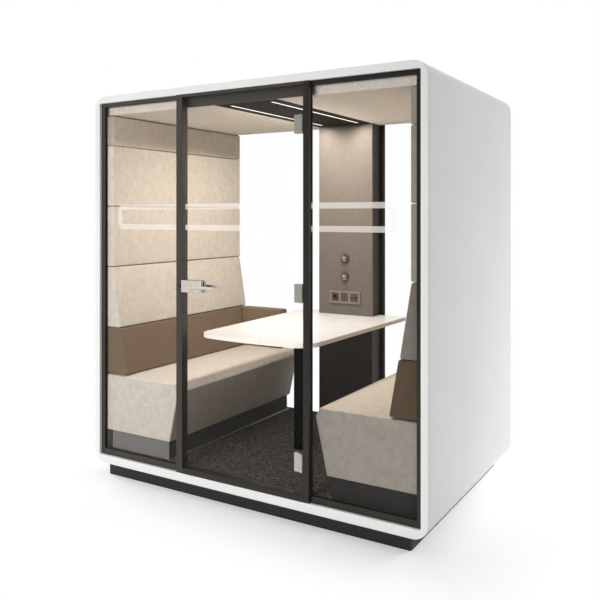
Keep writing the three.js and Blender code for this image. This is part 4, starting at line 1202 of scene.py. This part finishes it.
left_side = [item for item in scene.objects if item.type == "MESH" and "left" in item.name]
left_side = [item for item in left_side if "film" not in item.name and "pad_top" not in item.name]
left_side += [frame["nodes"][name] for name in ("door_jamb_latch", "door_head")]
left_side += [pile, bpy.data.objects["ceiling_pad_right_cloth"]]
bright_metal = [bpy.data.objects[name] for name in ("light_knob_dome", "fan_knob_dome", "lever_bars")]
bright_metal += [frame["nodes"]["lock_case"]]
top_row = [bpy.data.objects[f"wall_pad_top_{side}_cloth"] for side in ("left", "right")]
right_ends = [item for item in scene.objects if "wall_pad" in item.name and "right_cloth" in item.name]
right_ends += [bpy.data.objects[name] for name in ("seat_right_cover", "lumbar_pad_right_cover")]
lamp("key", (-0.5, -4.3, 2.0), (-0.9, -0.7, 1.2), (2.0, 1.8), 120, only=left_side)
lamp("spark", (-1.2, -4.2, 2.0), (-0.1, 0, 1.1), (0.8, 0.8), 70, only=bright_metal, shine=True)
lamp("right_fill", (0.6, -4.2, 1.0), (0.8, -0.7, 0.8), (1, 1), 24, only=right_ends)
lamp("top_front", (-0.5, -1.5, 1.7), (-1.0, -0.4, 2.1), (0.5, 0.5), 6, LINE_WARMTH, only=top_row[:1])
lamp("edge_box", (0, -4.2, 0.7), (0, -0.6, 0.9), (1.2, 0.3), 140, only=[table])
left_plinth = [frame["nodes"]["bench_plinth_left"]]
lamp("plinth_box", (-1.0, -4.3, 0.6), (-0.8, -0.7, 0.2), (0.8, 0.6), 105, only=left_plinth)
lamp("front_box", (-1.5, -6.0, 1.1), (0, -0.7, 1.0), (3, 2), 188, only=[shell])
lamp("lip_box", (0.4, -4.5, 1.0), (-0.6, -0.7, 1.0), (1.2, 2), 28, only=[shell])
lamp("side_box", (6.5, 1.5, 1.5), (1.1, 0.2, 1.2), (3, 3), 108, only=[shell])
lamp("left_box", (-6.5, 0.5, 1.5), (-1.1, 0, 1.2), (3, 3), 120, only=[shell])
lamp("rear_box", (0.5, 6.5, 1.5), (0, 0.7, 1.0), (3, 2), 150, only=[shell])
lamp("top_box", (0, 0, 6.5), (0, 0, 2.3), (3, 3), 70, only=[shell])
lamp("low_box", (2.8, 1.4, 0.05), (1.1, 1.4, 0.05), (2.0, 0.4), 12, only=[shell])
lamp("floor_left", (-4.5, -0.6, 1.4), (0, -1.0, 0), (4, 2), 160, only=[floor])
lamp("floor_rear", (2.2, 2.2, 0.8), (1.2, 0.4, 0), (1, 1), 80, only=[floor])
for side, sign in (("left", -1), ("right", 1)):
    low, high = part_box(f"light_line_{side}")
    middle = ((low.x + high.x) / 2, (low.y + high.y) / 2, low.z - LINE_DROP)
    span = (high.y - low.y, high.x - low.x)
    for name, tilt, power, never in (("line", 18, 6.6, top_row), ("wash", 2, 7.2, [*top_row, table])):
        aim = (middle[0] + sign * math.tan(math.radians(tilt)), middle[1], middle[2] - 1)
        lamp(f"{name}_lamp_{side}", middle, aim, span, power, LINE_WARMTH, never=never)
    aim = (middle[0] + sign * math.tan(math.radians(20)), middle[1], middle[2] - 1)
    lamp(f"skim_lamp_{side}", middle, aim, span, 30, LINE_WARMTH, only=top_row, spread=122)
    below = (middle[0], middle[1], middle[2] - 1)
    lamp(f"table_lamp_{side}", middle, below, span, 4.3, LINE_GLOW, only=[table])

ceiling = [bpy.data.objects[f"ceiling_pad_{side}_cloth"] for side in ("left", "right")]
bounce = (0, 0, table_high.z + 20 * MM)
lamp("table_bounce", bounce, (0, 0, 2.2), (0.7, 1.1), 4.5, LINE_WARMTH, only=ceiling)

world = bpy.data.worlds.new("studio")
scene.world = world
world.use_nodes = True
tree = world.node_tree
tree.nodes.clear()
pale = tree.nodes.new("ShaderNodeBackground")
pale.inputs["Color"].default_value = (1, 1, 1, 1)
pale.inputs["Strength"].default_value = AMBIENT
white = tree.nodes.new("ShaderNodeBackground")
white.inputs["Color"].default_value = (1, 1, 1, 1)
surface = blended(tree, "ShaderNodeMixShader", seen_ray(tree), pale.outputs[0], white.outputs[0])
tree.links.new(surface, tree.nodes.new("ShaderNodeOutputWorld").inputs["Surface"])
print("lamps:", len(bpy.data.lights))
